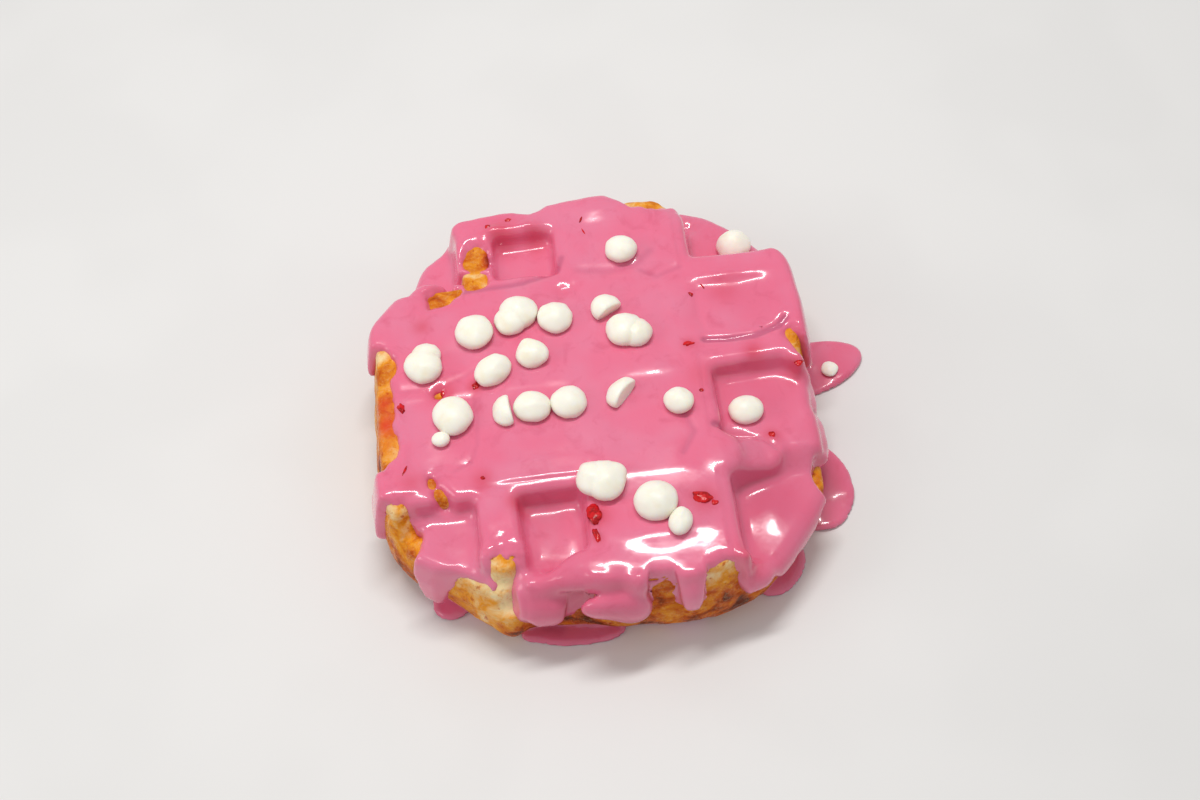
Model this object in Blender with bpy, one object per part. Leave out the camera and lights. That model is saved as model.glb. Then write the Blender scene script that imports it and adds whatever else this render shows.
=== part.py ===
# A Belgian waffle: a square of baked dough with a grid of pockets above and below,
# its broken edge, a coat of pink icing that hangs over the sides, the icing that ran
# off onto the surface below, and white chips scattered on top.
#
# Every size below is in millimetres. X runs along the waffle's front edge, Y towards
# its rear edge and Z up, and the waffle rests on its lower ribs at Z = 0.

import functools
import math

import bmesh
import bpy
import numpy as np
from mathutils import Vector
from mathutils.geometry import delaunay_2d_cdt

METRES = 0.001
CENTRE = (5.7, 3.15)  # the middle of the whole thing, moved to the origin
GAP = 0.3  # between pieces that touch

# The dough
FULL = 24.0  # the height of a rib that the dough filled
POCKET_FLOOR = 13.0
POCKET_CEILING = 3.8  # of the shallow pockets on the underside
FLANGE_TOP = 8.6  # the thin band where the dough reaches furthest out
FLANGE_LOW = 7.2
RIB_X = (-46.3, -24.6, -2.0, 20.7, 45.0)
RIB_Y = (50.0, 29.3, 5.6, -19.7, -43.6)
RIB_CREST = 3.0  # half the width of a rib on top
RIB_FOOT = 4.8  # half its width at the pocket's floor
RIM_TOP = 2.6  # how far inside the outline the side wall starts
RIM_SHOULDER = 1.0  # where the wall bends, and its share of the height there
SHOULDER_ABOVE = 0.76
SHOULDER_BELOW = 0.3

# The outline at the flange, where the batter spread to, counter-clockwise
OUTLINE = (
    (46.3, 0.0), (48.2, 9.0), (48.4, 24.0), (47.0, 33.0), (42.0, 39.5), (36.0, 47.0),
    (29.0, 52.2), (22.0, 54.8), (6.0, 56.0), (-8.0, 54.6), (-20.0, 52.8), (-29.0, 52.0),
    (-36.0, 46.0), (-40.0, 37.5), (-49.5, 26.0), (-51.0, 14.0), (-51.0, -12.0),
    (-49.5, -24.5), (-45.0, -31.8), (-38.0, -37.0), (-31.0, -43.2), (-24.6, -47.4),
    (-19.0, -45.4), (-9.0, -46.6), (3.0, -48.6), (15.0, -49.2), (24.0, -46.8),
    (31.0, -43.6), (39.5, -34.6), (46.2, -24.0), (46.4, -12.0),
)
OUTLINE_STEPS = 6  # points from one of these to the next
NORMAL_ROUNDS = 3  # how often the outward directions are smoothed, and how much
NORMAL_EASE = 0.5
LOWER_REACH = 65.0  # half the length of the ribs of the underside, before the rim cuts them

# Upper ribs that the dough filled: from and to, with the height at each end
UPPER_RIBS = {
    "left": ((RIB_X[0], -22.0, FULL), (RIB_X[0], 21.0, FULL)),
    "left_tail": ((RIB_X[0], -22.0, FULL), (-44.5, -29.5, 14.0)),
    "column_1": ((RIB_X[1], -38.0, FULL), (RIB_X[1], RIB_Y[0], FULL)),
    "column_1_tail": ((RIB_X[1], -38.0, FULL), (RIB_X[1], -45.0, 13.0)),
    "column_2": ((RIB_X[2], RIB_Y[4], FULL), (RIB_X[2], RIB_Y[0], FULL)),
    "column_3": ((RIB_X[3], RIB_Y[4], FULL), (RIB_X[3], RIB_Y[0], FULL)),
    "right": ((RIB_X[4], RIB_Y[2], FULL), (RIB_X[4], 27.0, FULL)),
    "rear": ((RIB_X[1], RIB_Y[0], FULL), (RIB_X[3], RIB_Y[0], FULL)),
    "row_2": ((-36.0, RIB_Y[1], FULL), (43.0, RIB_Y[1], FULL)),
    "left_corner": ((-36.0, RIB_Y[1], FULL), (RIB_X[0], 21.0, FULL)),
    "row_3": ((RIB_X[0], RIB_Y[2], FULL), (RIB_X[4], RIB_Y[2], FULL)),
    "row_4": ((RIB_X[0], RIB_Y[3], FULL), (24.0, RIB_Y[3], FULL)),
    "row_4_tail": ((24.0, RIB_Y[3], FULL), (34.5, -18.6, 18.6)),
    "front": ((-3.0, RIB_Y[4], FULL), (RIB_X[3], RIB_Y[4], FULL)),
    "left_front": ((-26.0, -40.6, 18.6), (-42.0, -30.6, 18.0)),
}

# The icing: its coat, and how high it stands in each pocket, rows from the rear
COAT = 1.2
COAT_CREST = 3.7  # half the width of an iced rib on top
COAT_FOOT = 6.4
POOL_LEVELS = (
    (15.3, 20.0, 25.4, 15.3),
    (25.0, 25.6, 25.6, 25.2),
    (24.6, 25.5, 25.5, 20.0),
    (20.4, 18.4, 26.1, 15.0),
)
SKIRT_GAP = 0.35  # between the skirt and the dough's outline
SKIRT = 1.6  # its thickness
SKIRT_MIDDLE = 1.0
SKIRT_FALL = (0.5, 0.3, 0.18, 0.06, 0.0)  # towards the hem, from its edge inwards
LEAST_FALL = 2.0  # the hem lies at least this far below the top
LEAST_SKIN = 0.8
HEM = 13.0  # how low the skirt hangs where nothing else is said
BUMP_CORE = 0.3  # the share of a drip or a bare stretch that has its full depth

# Where the icing runs lower, or stops higher: a place on the rim, width, hem, thickness
DRIPS = (
    (-17.3, -45.4, 13.5, 9.5, 2.6),  # the tongue below the open front pocket
    (-10.6, -46.4, 6.0, 19.0, 1.6),
    (-5.6, -47.2, 9.0, 18.5, 2.4),
    (-1.6, -48.4, 12.0, 10.0, 2.8),  # the leaf-shaped drop
    (7.2, -48.8, 9.0, 22.4, 1.0),  # the bare arch
    (13.2, -49.2, 7.0, 13.5, 2.2),
    (20.6, -47.6, 12.0, 22.4, 1.0),
    (27.5, -45.2, 10.0, 9.5, 2.0),
    (34.0, -40.8, 10.0, 9.5, 1.8),
    (39.5, -34.6, 16.0, 9.5, 1.8),
    (46.4, -23.0, 9.0, 13.5, 1.0),
    (46.4, -12.0, 12.0, 3.0, 2.6),
    (46.6, -2.0, 9.0, 5.0, 2.4),
    (48.2, 15.0, 18.0, 1.8, 1.8),
    (42.0, 39.5, 14.0, 8.0, 1.6),
    (29.0, 52.2, 11.0, 9.0, 1.6),
    (6.0, 56.0, 12.0, 7.0, 1.8),
    (-20.0, 52.8, 11.0, 6.0, 1.8),
    (-38.0, 42.0, 12.0, 8.0, 1.6),
    (-51.0, 11.0, 9.0, 6.0, 1.4),
    (-50.5, -18.0, 10.0, 11.0, 1.2),
    (-40.5, -35.2, 12.0, 3.5, 1.6),
)

# Where the icing stops short of the rim: a place, width along it, and how far inside
BARE_RIMS = (
    (-51.0, 2.0, 40.0, 5.5),
    (-46.5, -29.5, 18.0, 6.0),
    (-32.0, -42.3, 14.0, 5.0),
    (-24.6, -47.4, 9.0, 9.0),
    (16.0, 55.2, 15.0, 3.4),
    (48.2, 7.5, 7.0, 4.5),
)

# Bare windows in the coat: middle, and half the size each way
WINDOWS = ((-25.2, 39.0, 2.9, 6.0), (-33.5, 28.6, 2.6, 2.6))
WINDOW_SIDES = 12
END_STEPS = 4  # facets of a rib's round end
ON_RIM = 0.02  # a point this close to the outline counts as on it
MERGE = 0.02  # points of the plan that are closer than this become one
WELD = 0.000002  # the same for the finished solids, in metres
TINY = 1e-9  # stands in for zero where something is divided by it

# Icing on the surface below: a place on the rim, width, reach outwards, lean along it
PUDDLES = {
    "puddle_right": (48.3, 15.0, 17.0, 14.5, -3.0),
    "puddle_right_front": (46.4, -17.5, 25.0, 8.0, 0.0),
    "puddle_front_right": (37.0, -37.5, 17.0, 1.7, 0.0),
    "puddle_front": (-11.8, -46.2, 23.0, 1.8, 1.0),
    "puddle_left_front": (-38.6, -36.6, 9.0, 1.6, 0.0),
}
PUDDLE_DEPTH = 1.2
PUDDLE_UNDER = 1.1  # how far each reaches in under the rim
PUDDLE_STEPS = 16
PUDDLE_ROUND = 0.7  # how full its outer edge is: less is squarer
PUDDLE_BEVEL = 0.55
PUDDLE_WALL = 0.6  # the share of its depth below the bevel

# The chips: a place, width, depth, height and turn, and for a pair its second half
CHIP_RINGS = ((0.8, 0.0), (1.0, 0.25), (0.86, 0.66), (0.5, 0.92))  # width, height
CHIP_SIDES = 10
CHIP_FOOT = 0.42  # the share of its size that a chip stands on
CHIPS = {
    "chip_01": (9.2, 36.4, 7.8, 7.0, 3.6, 0.0),
    "chip_02": (36.6, 41.2, 7.8, 7.8, 4.6, 0.0),
    "chip_03": (-26.1, 17.6, 8.0, 8.4, 4.0, 35.0),
    "chip_04": (-16.0, 21.7, 8.6, 8.6, 4.2, 0.0, (-1.7, -1.8, 0.86)),
    "chip_05": (-7.4, 18.8, 8.0, 8.0, 3.8, 0.0),
    "chip_06": (4.1, 20.3, 6.6, 4.2, 3.4, 25.0),
    "chip_07": (7.3, 13.5, 8.4, 8.4, 4.2, 20.0, (2.0, -2.0, 0.84)),
    "chip_08": (-37.3, 9.8, 8.4, 8.4, 4.0, 30.0, (1.9, 2.0, 0.8)),
    "chip_09": (-22.8, 6.9, 8.8, 6.8, 4.0, 35.0),
    "chip_10": (-13.8, 9.5, 7.2, 6.4, 3.6, 0.0),
    "chip_11": (-32.3, -3.2, 8.6, 9.0, 4.0, 0.0),
    "chip_12": (-35.1, -9.2, 3.6, 3.2, 2.0, 0.0),
    "chip_13": (-21.0, -4.0, 3.4, 6.4, 3.2, 0.0),
    "chip_14": (-15.1, -3.9, 7.6, 7.2, 4.0, -10.0),
    "chip_15": (-7.1, -3.9, 7.7, 7.7, 4.0, 0.0),
    "chip_16": (4.2, -2.9, 7.6, 4.2, 3.2, 50.0),
    "chip_17": (16.5, -6.6, 6.4, 6.2, 3.4, 0.0),
    "chip_18": (31.3, -7.6, 7.8, 7.0, 3.6, 0.0),
    "chip_19": (-1.7, -24.6, 8.8, 9.0, 4.4, 20.0, (-1.6, 1.5, 0.88)),
    "chip_20": (8.3, -30.8, 9.2, 8.6, 4.4, 0.0),
    "chip_21": (12.8, -36.3, 4.6, 6.0, 3.2, -20.0),
    "chip_22": (55.6, 12.9, 3.7, 3.6, 1.4, 0.0),
}


def closed_curve(points, steps):
    """A smooth closed curve through the points, with this many steps between them."""
    out = []
    count = len(points)
    for i in range(count):
        a, b, c, d = (np.array(points[(i + k - 1) % count], float) for k in range(4))
        for j in range(steps):
            t = j / steps
            out.append(0.5 * (2 * b + (c - a) * t + (2 * a - 5 * b + 4 * c - d) * t**2
                              + (3 * b - 3 * c + d - a) * t**3))
    return np.array(out)


RIM = closed_curve(OUTLINE, OUTLINE_STEPS)
RIM_NEXT = np.roll(RIM, -1, axis=0)
RIM_STEP = RIM_NEXT - RIM
RIM_LENGTHS = np.linalg.norm(RIM_STEP, axis=1)
RIM_START = np.concatenate(([0.0], np.cumsum(RIM_LENGTHS)[:-1]))
RIM_ROUND = RIM_LENGTHS.sum()


def rim_normals():
    """Outward directions at the outline's points, smoothed along it."""
    flat = np.stack((RIM_STEP[:, 1], -RIM_STEP[:, 0]), axis=1) / RIM_LENGTHS[:, None]
    out = flat + np.roll(flat, 1, axis=0)
    for _ in range(NORMAL_ROUNDS):
        out = out + NORMAL_EASE * (np.roll(out, 1, axis=0) + np.roll(out, -1, axis=0))
        out = out / np.linalg.norm(out, axis=1)[:, None]
    return out


RIM_NORMALS = rim_normals()


def rim_place(point):
    """How far a point is inside the outline, and how far along it that is."""
    away = np.asarray(point, float) - RIM
    part = np.clip((away * RIM_STEP).sum(1) / RIM_LENGTHS**2, 0.0, 1.0)
    gaps = np.linalg.norm(away - RIM_STEP * part[:, None], axis=1)
    i = int(gaps.argmin())
    inside = crosses([point], RIM)[0]
    return (gaps[i] if inside else -gaps[i]), RIM_START[i] + part[i] * RIM_LENGTHS[i]


@functools.lru_cache(maxsize=None)
def place_along(place):
    """How far along the rim a named place is."""
    return rim_place(place)[1]


def rim_bump(along, place, width):
    """1 at a place on the rim, falling smoothly to 0 half a width away from it."""
    away = abs(along - place_along(place))
    away = min(away, RIM_ROUND - away) / (0.5 * width)
    if away >= 1.0:
        return 0.0
    return 1.0 - smooth((away - BUMP_CORE) / (1.0 - BUMP_CORE))


def smooth(t):
    t = min(max(t, 0.0), 1.0)
    return t * t * (3.0 - 2.0 * t)


def offset_rim(distance):
    """The outline moved outwards, or inwards where the distance is negative."""
    return RIM + RIM_NORMALS * distance


def rib_height(point, ribs, crest, foot, floor):
    """The height of the ribs' upper surface above a point of the plan."""
    best = floor
    for start, end in ribs:
        a = np.array(start[:2])
        along = np.array(end[:2]) - a
        t = min(max(float(np.dot(np.array(point) - a, along) / np.dot(along, along)), 0.0), 1.0)
        away = float(np.linalg.norm(np.array(point) - a - along * t))
        top = start[2] + (end[2] - start[2]) * t
        share = min(max((foot - away) / (foot - crest), 0.0), 1.0)
        best = max(best, floor + (top - floor) * share)
    return best


def inner_point(point, inset, depth):
    """The point moved in from the rim, so that it is at least this deep inside."""
    if inset >= depth:
        return point
    along = rim_place(point)[1]
    i = int(np.searchsorted(RIM_START, along, side="right")) - 1
    return tuple(np.array(point) - RIM_NORMALS[i] * (depth - inset))


def dough_top(point):
    inset = rim_place(point)[0]
    inner = inner_point(point, inset, RIM_TOP)
    top = rib_height(inner, UPPER_RIBS.values(), RIB_CREST, RIB_FOOT, POCKET_FLOOR)
    share = np.interp(inset, (0.0, RIM_SHOULDER, RIM_TOP), (0.0, SHOULDER_ABOVE, 1.0))
    return FLANGE_TOP + (top - FLANGE_TOP) * float(share)


def dough_bottom(point):
    inset = rim_place(point)[0]
    x, y = inner_point(point, inset, RIM_TOP)
    away = min(min(abs(x - rib) for rib in RIB_X), min(abs(y - rib) for rib in RIB_Y))
    share = min(max((RIB_FOOT - away) / (RIB_FOOT - RIB_CREST), 0.0), 1.0)
    low = POCKET_CEILING * (1.0 - share)
    rise = np.interp(inset, (0.0, RIM_SHOULDER, RIM_TOP), (1.0, SHOULDER_BELOW, 0.0))
    return low + (FLANGE_LOW - low) * float(rise)


def pool_level(point):
    """The level of the icing in the pocket under a point, blended across the ribs."""
    x, y = point
    columns = [smooth((x - rib + RIB_CREST) / (2 * RIB_CREST)) for rib in RIB_X[1:4]]
    rows = [smooth((rib - y + RIB_CREST) / (2 * RIB_CREST)) for rib in RIB_Y[1:4]]
    level = 0.0
    column_shares = (1 - columns[0], columns[0] - columns[1], columns[1] - columns[2], columns[2])
    row_shares = (1 - rows[0], rows[0] - rows[1], rows[1] - rows[2], rows[2])
    for row, row_share in enumerate(row_shares):
        for column, column_share in enumerate(column_shares):
            level += row_share * column_share * POOL_LEVELS[row][column]
    return level


def hem_height(along):
    """How low the icing hangs, and how thick it is, at a distance along the rim."""
    hem = HEM
    skirt = SKIRT
    for x, y, width, low, thick in DRIPS:
        share = rim_bump(along, (x, y), width)
        hem += (low - hem) * share
        skirt += (thick - skirt) * share
    return hem, skirt


def icing_edge(along):
    """How far outside the outline the icing's edge is: less than nothing where it is bare."""
    edge = SKIRT_GAP + hem_height(along)[1]
    for x, y, width, depth in BARE_RIMS:
        edge += (-depth - edge) * rim_bump(along, (x, y), width)
    return edge


def icing_top(point):
    inset, along = rim_place(point)
    inner = inner_point(point, inset, RIM_TOP)
    coated = COAT + rib_height(inner, UPPER_RIBS.values(), COAT_CREST, COAT_FOOT, POCKET_FLOOR)
    top = max(coated, pool_level(inner))
    hem, skirt = hem_height(along)
    insets = (-SKIRT_GAP - skirt, -SKIRT_MIDDLE, 0.0, RIM_SHOULDER, RIM_TOP)
    fall = float(np.interp(inset, insets, SKIRT_FALL))
    low = top - (top - min(hem, top - LEAST_FALL)) * fall
    return max(low, icing_under(point) + LEAST_SKIN)


def icing_under(point):
    """The inner side of the icing: clear of the dough, and its hem outside the outline."""
    inset, along = rim_place(point)
    hem = hem_height(along)[0]
    if inset < -ON_RIM:
        return hem
    clear = dough_top(point) + GAP
    return max(clear, hem) if inset < RIM_TOP else clear


def rib_loops(ribs, width):
    """The plan outline of each rib at this half width, with round ends."""
    loops = []
    for start, end in ribs:
        a = np.array(start[:2])
        b = np.array(end[:2])
        turn = math.atan2(b[1] - a[1], b[0] - a[0])
        loop = []
        for middle, first in ((b, -0.5 * math.pi), (a, 0.5 * math.pi)):
            for k in range(END_STEPS + 1):
                angle = turn + first + math.pi * k / END_STEPS
                loop.append(middle + width * np.array((math.cos(angle), math.sin(angle))))
        loops.append(loop)
    return loops


def window_loops():
    loops = []
    for x, y, half_x, half_y in WINDOWS:
        turns = [2 * math.pi * k / WINDOW_SIDES for k in range(WINDOW_SIDES)]
        loops.append([(x + half_x * math.cos(a), y + half_y * math.sin(a)) for a in turns])
    return loops


def crosses(points, polygon):
    """Which of the points lie inside the polygon."""
    points = np.asarray(points, float)
    polygon = np.asarray(polygon, float)
    after = np.roll(polygon, -1, axis=0)
    x = points[:, 0:1]
    y = points[:, 1:2]
    spans = (polygon[:, 1] > y) != (after[:, 1] > y)
    rise = np.where(after[:, 1] == polygon[:, 1], TINY, after[:, 1] - polygon[:, 1])
    at = polygon[:, 0] + (y - polygon[:, 1]) * (after[:, 0] - polygon[:, 0]) / rise
    return ((x < at) & spans).sum(1) % 2 == 1


def lines_inside(loops, polygon):
    """The parts of the loops' sides that lie inside a polygon."""
    after = np.roll(polygon, -1, axis=0) - polygon
    lines = []
    for loop in loops:
        for k in range(len(loop)):
            start = np.array(loop[k])
            step = np.array(loop[(k + 1) % len(loop)]) - start
            across = step[0] * after[:, 1] - step[1] * after[:, 0]
            across = np.where(np.abs(across) < TINY, TINY, across)
            away = polygon - start
            part = (away[:, 0] * after[:, 1] - away[:, 1] * after[:, 0]) / across
            beside = (away[:, 0] * step[1] - away[:, 1] * step[0]) / across
            cuts = part[(part > 0.0) & (part < 1.0) & (beside >= 0.0) & (beside < 1.0)]
            cuts = np.concatenate(([0.0], np.sort(cuts), [1.0]))
            ends = start + cuts[:, None] * step
            inside = crosses(0.5 * (ends[:-1] + ends[1:]), polygon)
            lines += [(ends[i], ends[i + 1]) for i in range(len(inside)) if inside[i]]
    return lines


def triangulate(loops, lines):
    """Triangles between closed loops and lines of the plan, whose edges they all keep."""
    points = []
    edges = []
    for line in lines:
        edges.append((len(points), len(points) + 1))
        points += [Vector(p) for p in line]
    for loop in loops:
        first = len(points)
        points += [Vector(p) for p in loop]
        edges += [(first + k, first + (k + 1) % len(loop)) for k in range(len(loop))]
    verts, _, faces, *_ = delaunay_2d_cdt(points, edges, [], 0, MERGE)
    verts = np.array([tuple(v) for v in verts])
    return verts, np.array([tuple(f) for f in faces])


def border_edges(faces):
    """The directed edges that only one triangle has."""
    edges = {(f[i], f[(i + 1) % 3]) for f in faces.tolist() for i in range(3)}
    return [(a, b) for a, b in edges if (b, a) not in edges]


def one_sheet(faces):
    """The largest patch of triangles, without the corners where it only touches itself."""
    faces = [tuple(f) for f in faces.tolist()]
    while True:
        owners = {}
        for i, face in enumerate(faces):
            for k in range(3):
                owners.setdefault(frozenset((face[k], face[(k + 1) % 3])), []).append(i)
        patches = joined(range(len(faces)), owners.values())
        faces = [faces[i] for i in max(patches, key=len)]
        around = {}
        for face in faces:
            for v in face:
                around.setdefault(v, []).append(face)
        loose = set()
        for v, fan in around.items():
            spokes = {}
            for i, face in enumerate(fan):
                for w in face:
                    if w != v:
                        spokes.setdefault(w, []).append(i)
            wedges = joined(range(len(fan)), spokes.values())
            for wedge in sorted(wedges, key=len)[:-1]:
                loose |= {fan[i] for i in wedge}
        if not loose:
            return np.array(faces)
        faces = [f for f in faces if f not in loose]


def joined(items, links):
    """The items in groups, where each link names items of one group."""
    group = {i: i for i in items}

    def first(i):
        while group[i] != i:
            i = group[i]
        return i

    for link in links:
        for other in link[1:]:
            group[first(other)] = first(link[0])
    patches = {}
    for i in items:
        patches.setdefault(first(i), []).append(i)
    return list(patches.values())


def new_object(name, verts, faces, material):
    """A mesh object from points in millimetres, centred on the origin in plan."""
    mesh = bpy.data.meshes.new(name)
    shift = Vector((CENTRE[0], CENTRE[1], 0.0))
    mesh.from_pydata([(Vector(v) - shift) * METRES for v in verts], [], [tuple(f) for f in faces])
    bm = bmesh.new()
    bm.from_mesh(mesh)
    bmesh.ops.remove_doubles(bm, verts=bm.verts, dist=WELD)
    bmesh.ops.recalc_face_normals(bm, faces=bm.faces)
    bm.to_mesh(mesh)
    bm.free()
    mesh.materials.append(material)
    item = bpy.data.objects.new(name, mesh)
    bpy.context.scene.collection.objects.link(item)
    return item


def two_sided(verts, faces, upper, lower):
    """A closed shell over some triangles of the plan, from its two height functions."""
    used = sorted(set(faces.ravel().tolist()))
    index = {v: i for i, v in enumerate(used)}
    count = len(used)
    out = [(verts[v][0], verts[v][1], upper(tuple(verts[v]))) for v in used]
    out += [(verts[v][0], verts[v][1], lower(tuple(verts[v]))) for v in used]
    sides = []
    for a, b in border_edges(faces):
        sides.append((index[a], index[a] + count, index[b] + count))
        sides.append((index[a], index[b] + count, index[b]))
    tops = [tuple(index[v] for v in f) for f in faces.tolist()]
    unders = [tuple(index[v] + count for v in reversed(f)) for f in faces.tolist()]
    return out, tops + unders + sides


def shared_plan():
    """The plan that the dough's top and the icing share."""
    edges = [icing_edge(start) for start in RIM_START]
    icing_loop = RIM + RIM_NORMALS * np.array(edges)[:, None]
    inner = offset_rim(-RIM_TOP)
    loops = [RIM, offset_rim(-RIM_SHOULDER), inner, offset_rim(SKIRT_GAP), icing_loop]
    loops += window_loops()
    ribs = []
    for width in (RIB_CREST, RIB_FOOT, COAT_FOOT):
        ribs += rib_loops(UPPER_RIBS.values(), width)
    for width in (RIB_CREST, RIB_FOOT):
        ribs += rib_loops(lower_ribs(), width)
    verts, faces = triangulate(loops, lines_inside(ribs, inner))
    middles = verts[faces].mean(axis=1)
    return verts, faces, crosses(middles, RIM), crosses(middles, icing_loop), middles


def lower_ribs():
    """The ribs of the underside, which run from edge to edge."""
    straight = [((x, -LOWER_REACH, 0.0), (x, LOWER_REACH, 0.0)) for x in RIB_X]
    return straight + [((-LOWER_REACH, y, 0.0), (LOWER_REACH, y, 0.0)) for y in RIB_Y]


def make_waffle(verts, faces, material):
    points, shell = two_sided(verts, one_sheet(faces), dough_top, dough_bottom)
    return new_object("waffle", points, shell, material)


def make_icing(verts, faces, middles, material):
    keep = np.ones(len(faces), bool)
    for loop in window_loops():
        keep &= ~crosses(middles, loop)
    points, shell = two_sided(verts, one_sheet(faces[keep]), icing_top, icing_under)
    return new_object("icing", points, shell, material)


def make_puddle(name, values, material):
    """A thin pool that starts under the rim and runs outwards."""
    x, y, width, reach, lean = values
    middle = rim_place((x, y))[1]
    inner = []
    outer = []
    for k in range(PUDDLE_STEPS + 1):
        share = 2.0 * k / PUDDLE_STEPS - 1.0
        along = (middle + 0.5 * width * share) % RIM_ROUND
        i = int(np.searchsorted(RIM_START, along, side="right")) - 1
        part = (along - RIM_START[i]) / RIM_LENGTHS[i]
        base = RIM[i] + RIM_STEP[i] * part
        normal = RIM_NORMALS[i] * (1 - part) + RIM_NORMALS[(i + 1) % len(RIM)] * part
        side = np.array((-normal[1], normal[0]))
        swell = (1.0 - share**2) ** PUDDLE_ROUND
        inner.append(base - normal * PUDDLE_UNDER)
        outer.append(base + normal * (PUDDLE_DEPTH + reach * swell) + side * lean * swell)
    points = []
    for z, edge in ((0.0, 0.0), (PUDDLE_WALL * PUDDLE_DEPTH, 0.0), (PUDDLE_DEPTH, PUDDLE_BEVEL)):
        points += [(*a, z) for a in inner]
        for a, b in zip(inner, outer):
            points.append((*(b + (a - b) * edge / np.linalg.norm(a - b)), z))
    row = PUDDLE_STEPS + 1
    layer = 2 * row
    faces = []
    for k in range(PUDDLE_STEPS):
        faces.append((k, k + 1, row + k + 1, row + k))
        top = 2 * layer
        faces.append((top + k, top + row + k, top + row + k + 1, top + k + 1))
    ring = list(range(row)) + list(range(layer - 1, row - 1, -1))
    for level in (0, layer):
        for k in range(len(ring)):
            a = ring[k] + level
            b = ring[(k + 1) % len(ring)] + level
            faces.append((a, a + layer, b + layer, b))
    return new_object(name, points, faces, material)


def dome(middle, width, depth, height, turn):
    """A low round chip, flat below, as rings of points."""
    c = math.cos(turn)
    s = math.sin(turn)
    points = []
    for share, level in CHIP_RINGS:
        for k in range(CHIP_SIDES):
            angle = 2 * math.pi * k / CHIP_SIDES
            x = 0.5 * width * share * math.cos(angle)
            y = 0.5 * depth * share * math.sin(angle)
            spot = (x * c - y * s, x * s + y * c, height * level)
            points.append([m + d for m, d in zip(middle, spot)])
    points.append((middle[0], middle[1], middle[2] + height))
    faces = [tuple(reversed(range(CHIP_SIDES)))]
    last = (len(CHIP_RINGS) - 1) * CHIP_SIDES
    for k in range(CHIP_SIDES):
        after = (k + 1) % CHIP_SIDES
        for first in range(0, last, CHIP_SIDES):
            lower = (first + k, first + after)
            faces.append((*lower, lower[1] + CHIP_SIDES, lower[0] + CHIP_SIDES))
        faces.append((last + k, last + after, len(points) - 1))
    return points, faces


def chip_base(x, y, width, depth):
    """The height that a chip's flat underside rests at, clear of the icing."""
    high = icing_top((x, y))
    for k in range(CHIP_SIDES):
        angle = 2 * math.pi * k / CHIP_SIDES
        for share in (0.5 * CHIP_FOOT, CHIP_FOOT):
            out = (width * share * math.cos(angle), depth * share * math.sin(angle))
            high = max(high, icing_top((x + out[0], y + out[1])))
    return high + GAP


def make_chip(name, values, material):
    x, y, width, depth, height, turn = values[:6]
    beside = rim_place((x, y))[0] < 0.0  # it lies on the icing that ran off
    base = PUDDLE_DEPTH + GAP if beside else chip_base(x, y, width, depth)
    turn = math.radians(turn)
    item = new_object(name, *dome((x, y, base), width, depth, height, turn), material)
    if len(values) > 6:
        dx, dy, share = values[6]
        half = dome((x + dx, y + dy, base), width * share, depth * share, height * share, turn)
        second = new_object(name + "_half", *half, material)
        join = item.modifiers.new("join", "BOOLEAN")
        join.operation = "UNION"
        join.solver = "EXACT"
        join.object = second
        second.hide_render = True
        second.display_type = "WIRE"
    return item


def plain_material(name, colour, roughness):
    material = bpy.data.materials.new(name)
    material.use_nodes = True
    shader = material.node_tree.nodes["Principled BSDF"]
    shader.inputs["Base Color"].default_value = (*colour, 1.0)
    shader.inputs["Roughness"].default_value = roughness
    shader.inputs["Metallic"].default_value = 0.0
    return material


def main():
    for item in list(bpy.data.objects):
        bpy.data.objects.remove(item)
    dough = plain_material("dough", (0.62, 0.33, 0.08), 0.6)
    icing = plain_material("icing", (0.78, 0.18, 0.33), 0.25)
    candy = plain_material("candy", (0.93, 0.9, 0.8), 0.5)
    verts, faces, in_dough, in_icing, middles = shared_plan()
    make_waffle(verts, faces[in_dough], dough)
    make_icing(verts, faces[in_icing], middles[in_icing], icing)
    for name, values in PUDDLES.items():
        make_puddle(name, values, icing)
    for name, values in CHIPS.items():
        make_chip(name, values, candy)


main()
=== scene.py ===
import math

import bmesh
import bpy
import numpy as np
from mathutils import Matrix, Vector, noise


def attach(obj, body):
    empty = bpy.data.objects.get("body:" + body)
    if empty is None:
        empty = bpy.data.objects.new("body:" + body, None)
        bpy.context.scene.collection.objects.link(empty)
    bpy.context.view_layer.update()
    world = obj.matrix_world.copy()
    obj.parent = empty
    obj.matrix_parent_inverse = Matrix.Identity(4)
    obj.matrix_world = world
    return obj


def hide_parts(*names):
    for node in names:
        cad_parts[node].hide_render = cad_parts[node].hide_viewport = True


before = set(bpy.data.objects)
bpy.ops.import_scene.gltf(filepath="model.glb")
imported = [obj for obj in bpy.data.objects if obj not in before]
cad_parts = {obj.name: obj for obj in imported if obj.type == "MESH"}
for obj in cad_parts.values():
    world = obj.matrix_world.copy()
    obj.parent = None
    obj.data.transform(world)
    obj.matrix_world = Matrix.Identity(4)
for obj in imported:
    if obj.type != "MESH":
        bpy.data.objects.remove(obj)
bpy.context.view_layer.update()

# Sizes are in millimetres, in the waffle's own plan: X along its front edge, Y towards
# its rear edge. planMiddle is the point of that plan that lies at the origin.
planMiddle = (5.7, 3.15)
metres = 0.001

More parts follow.
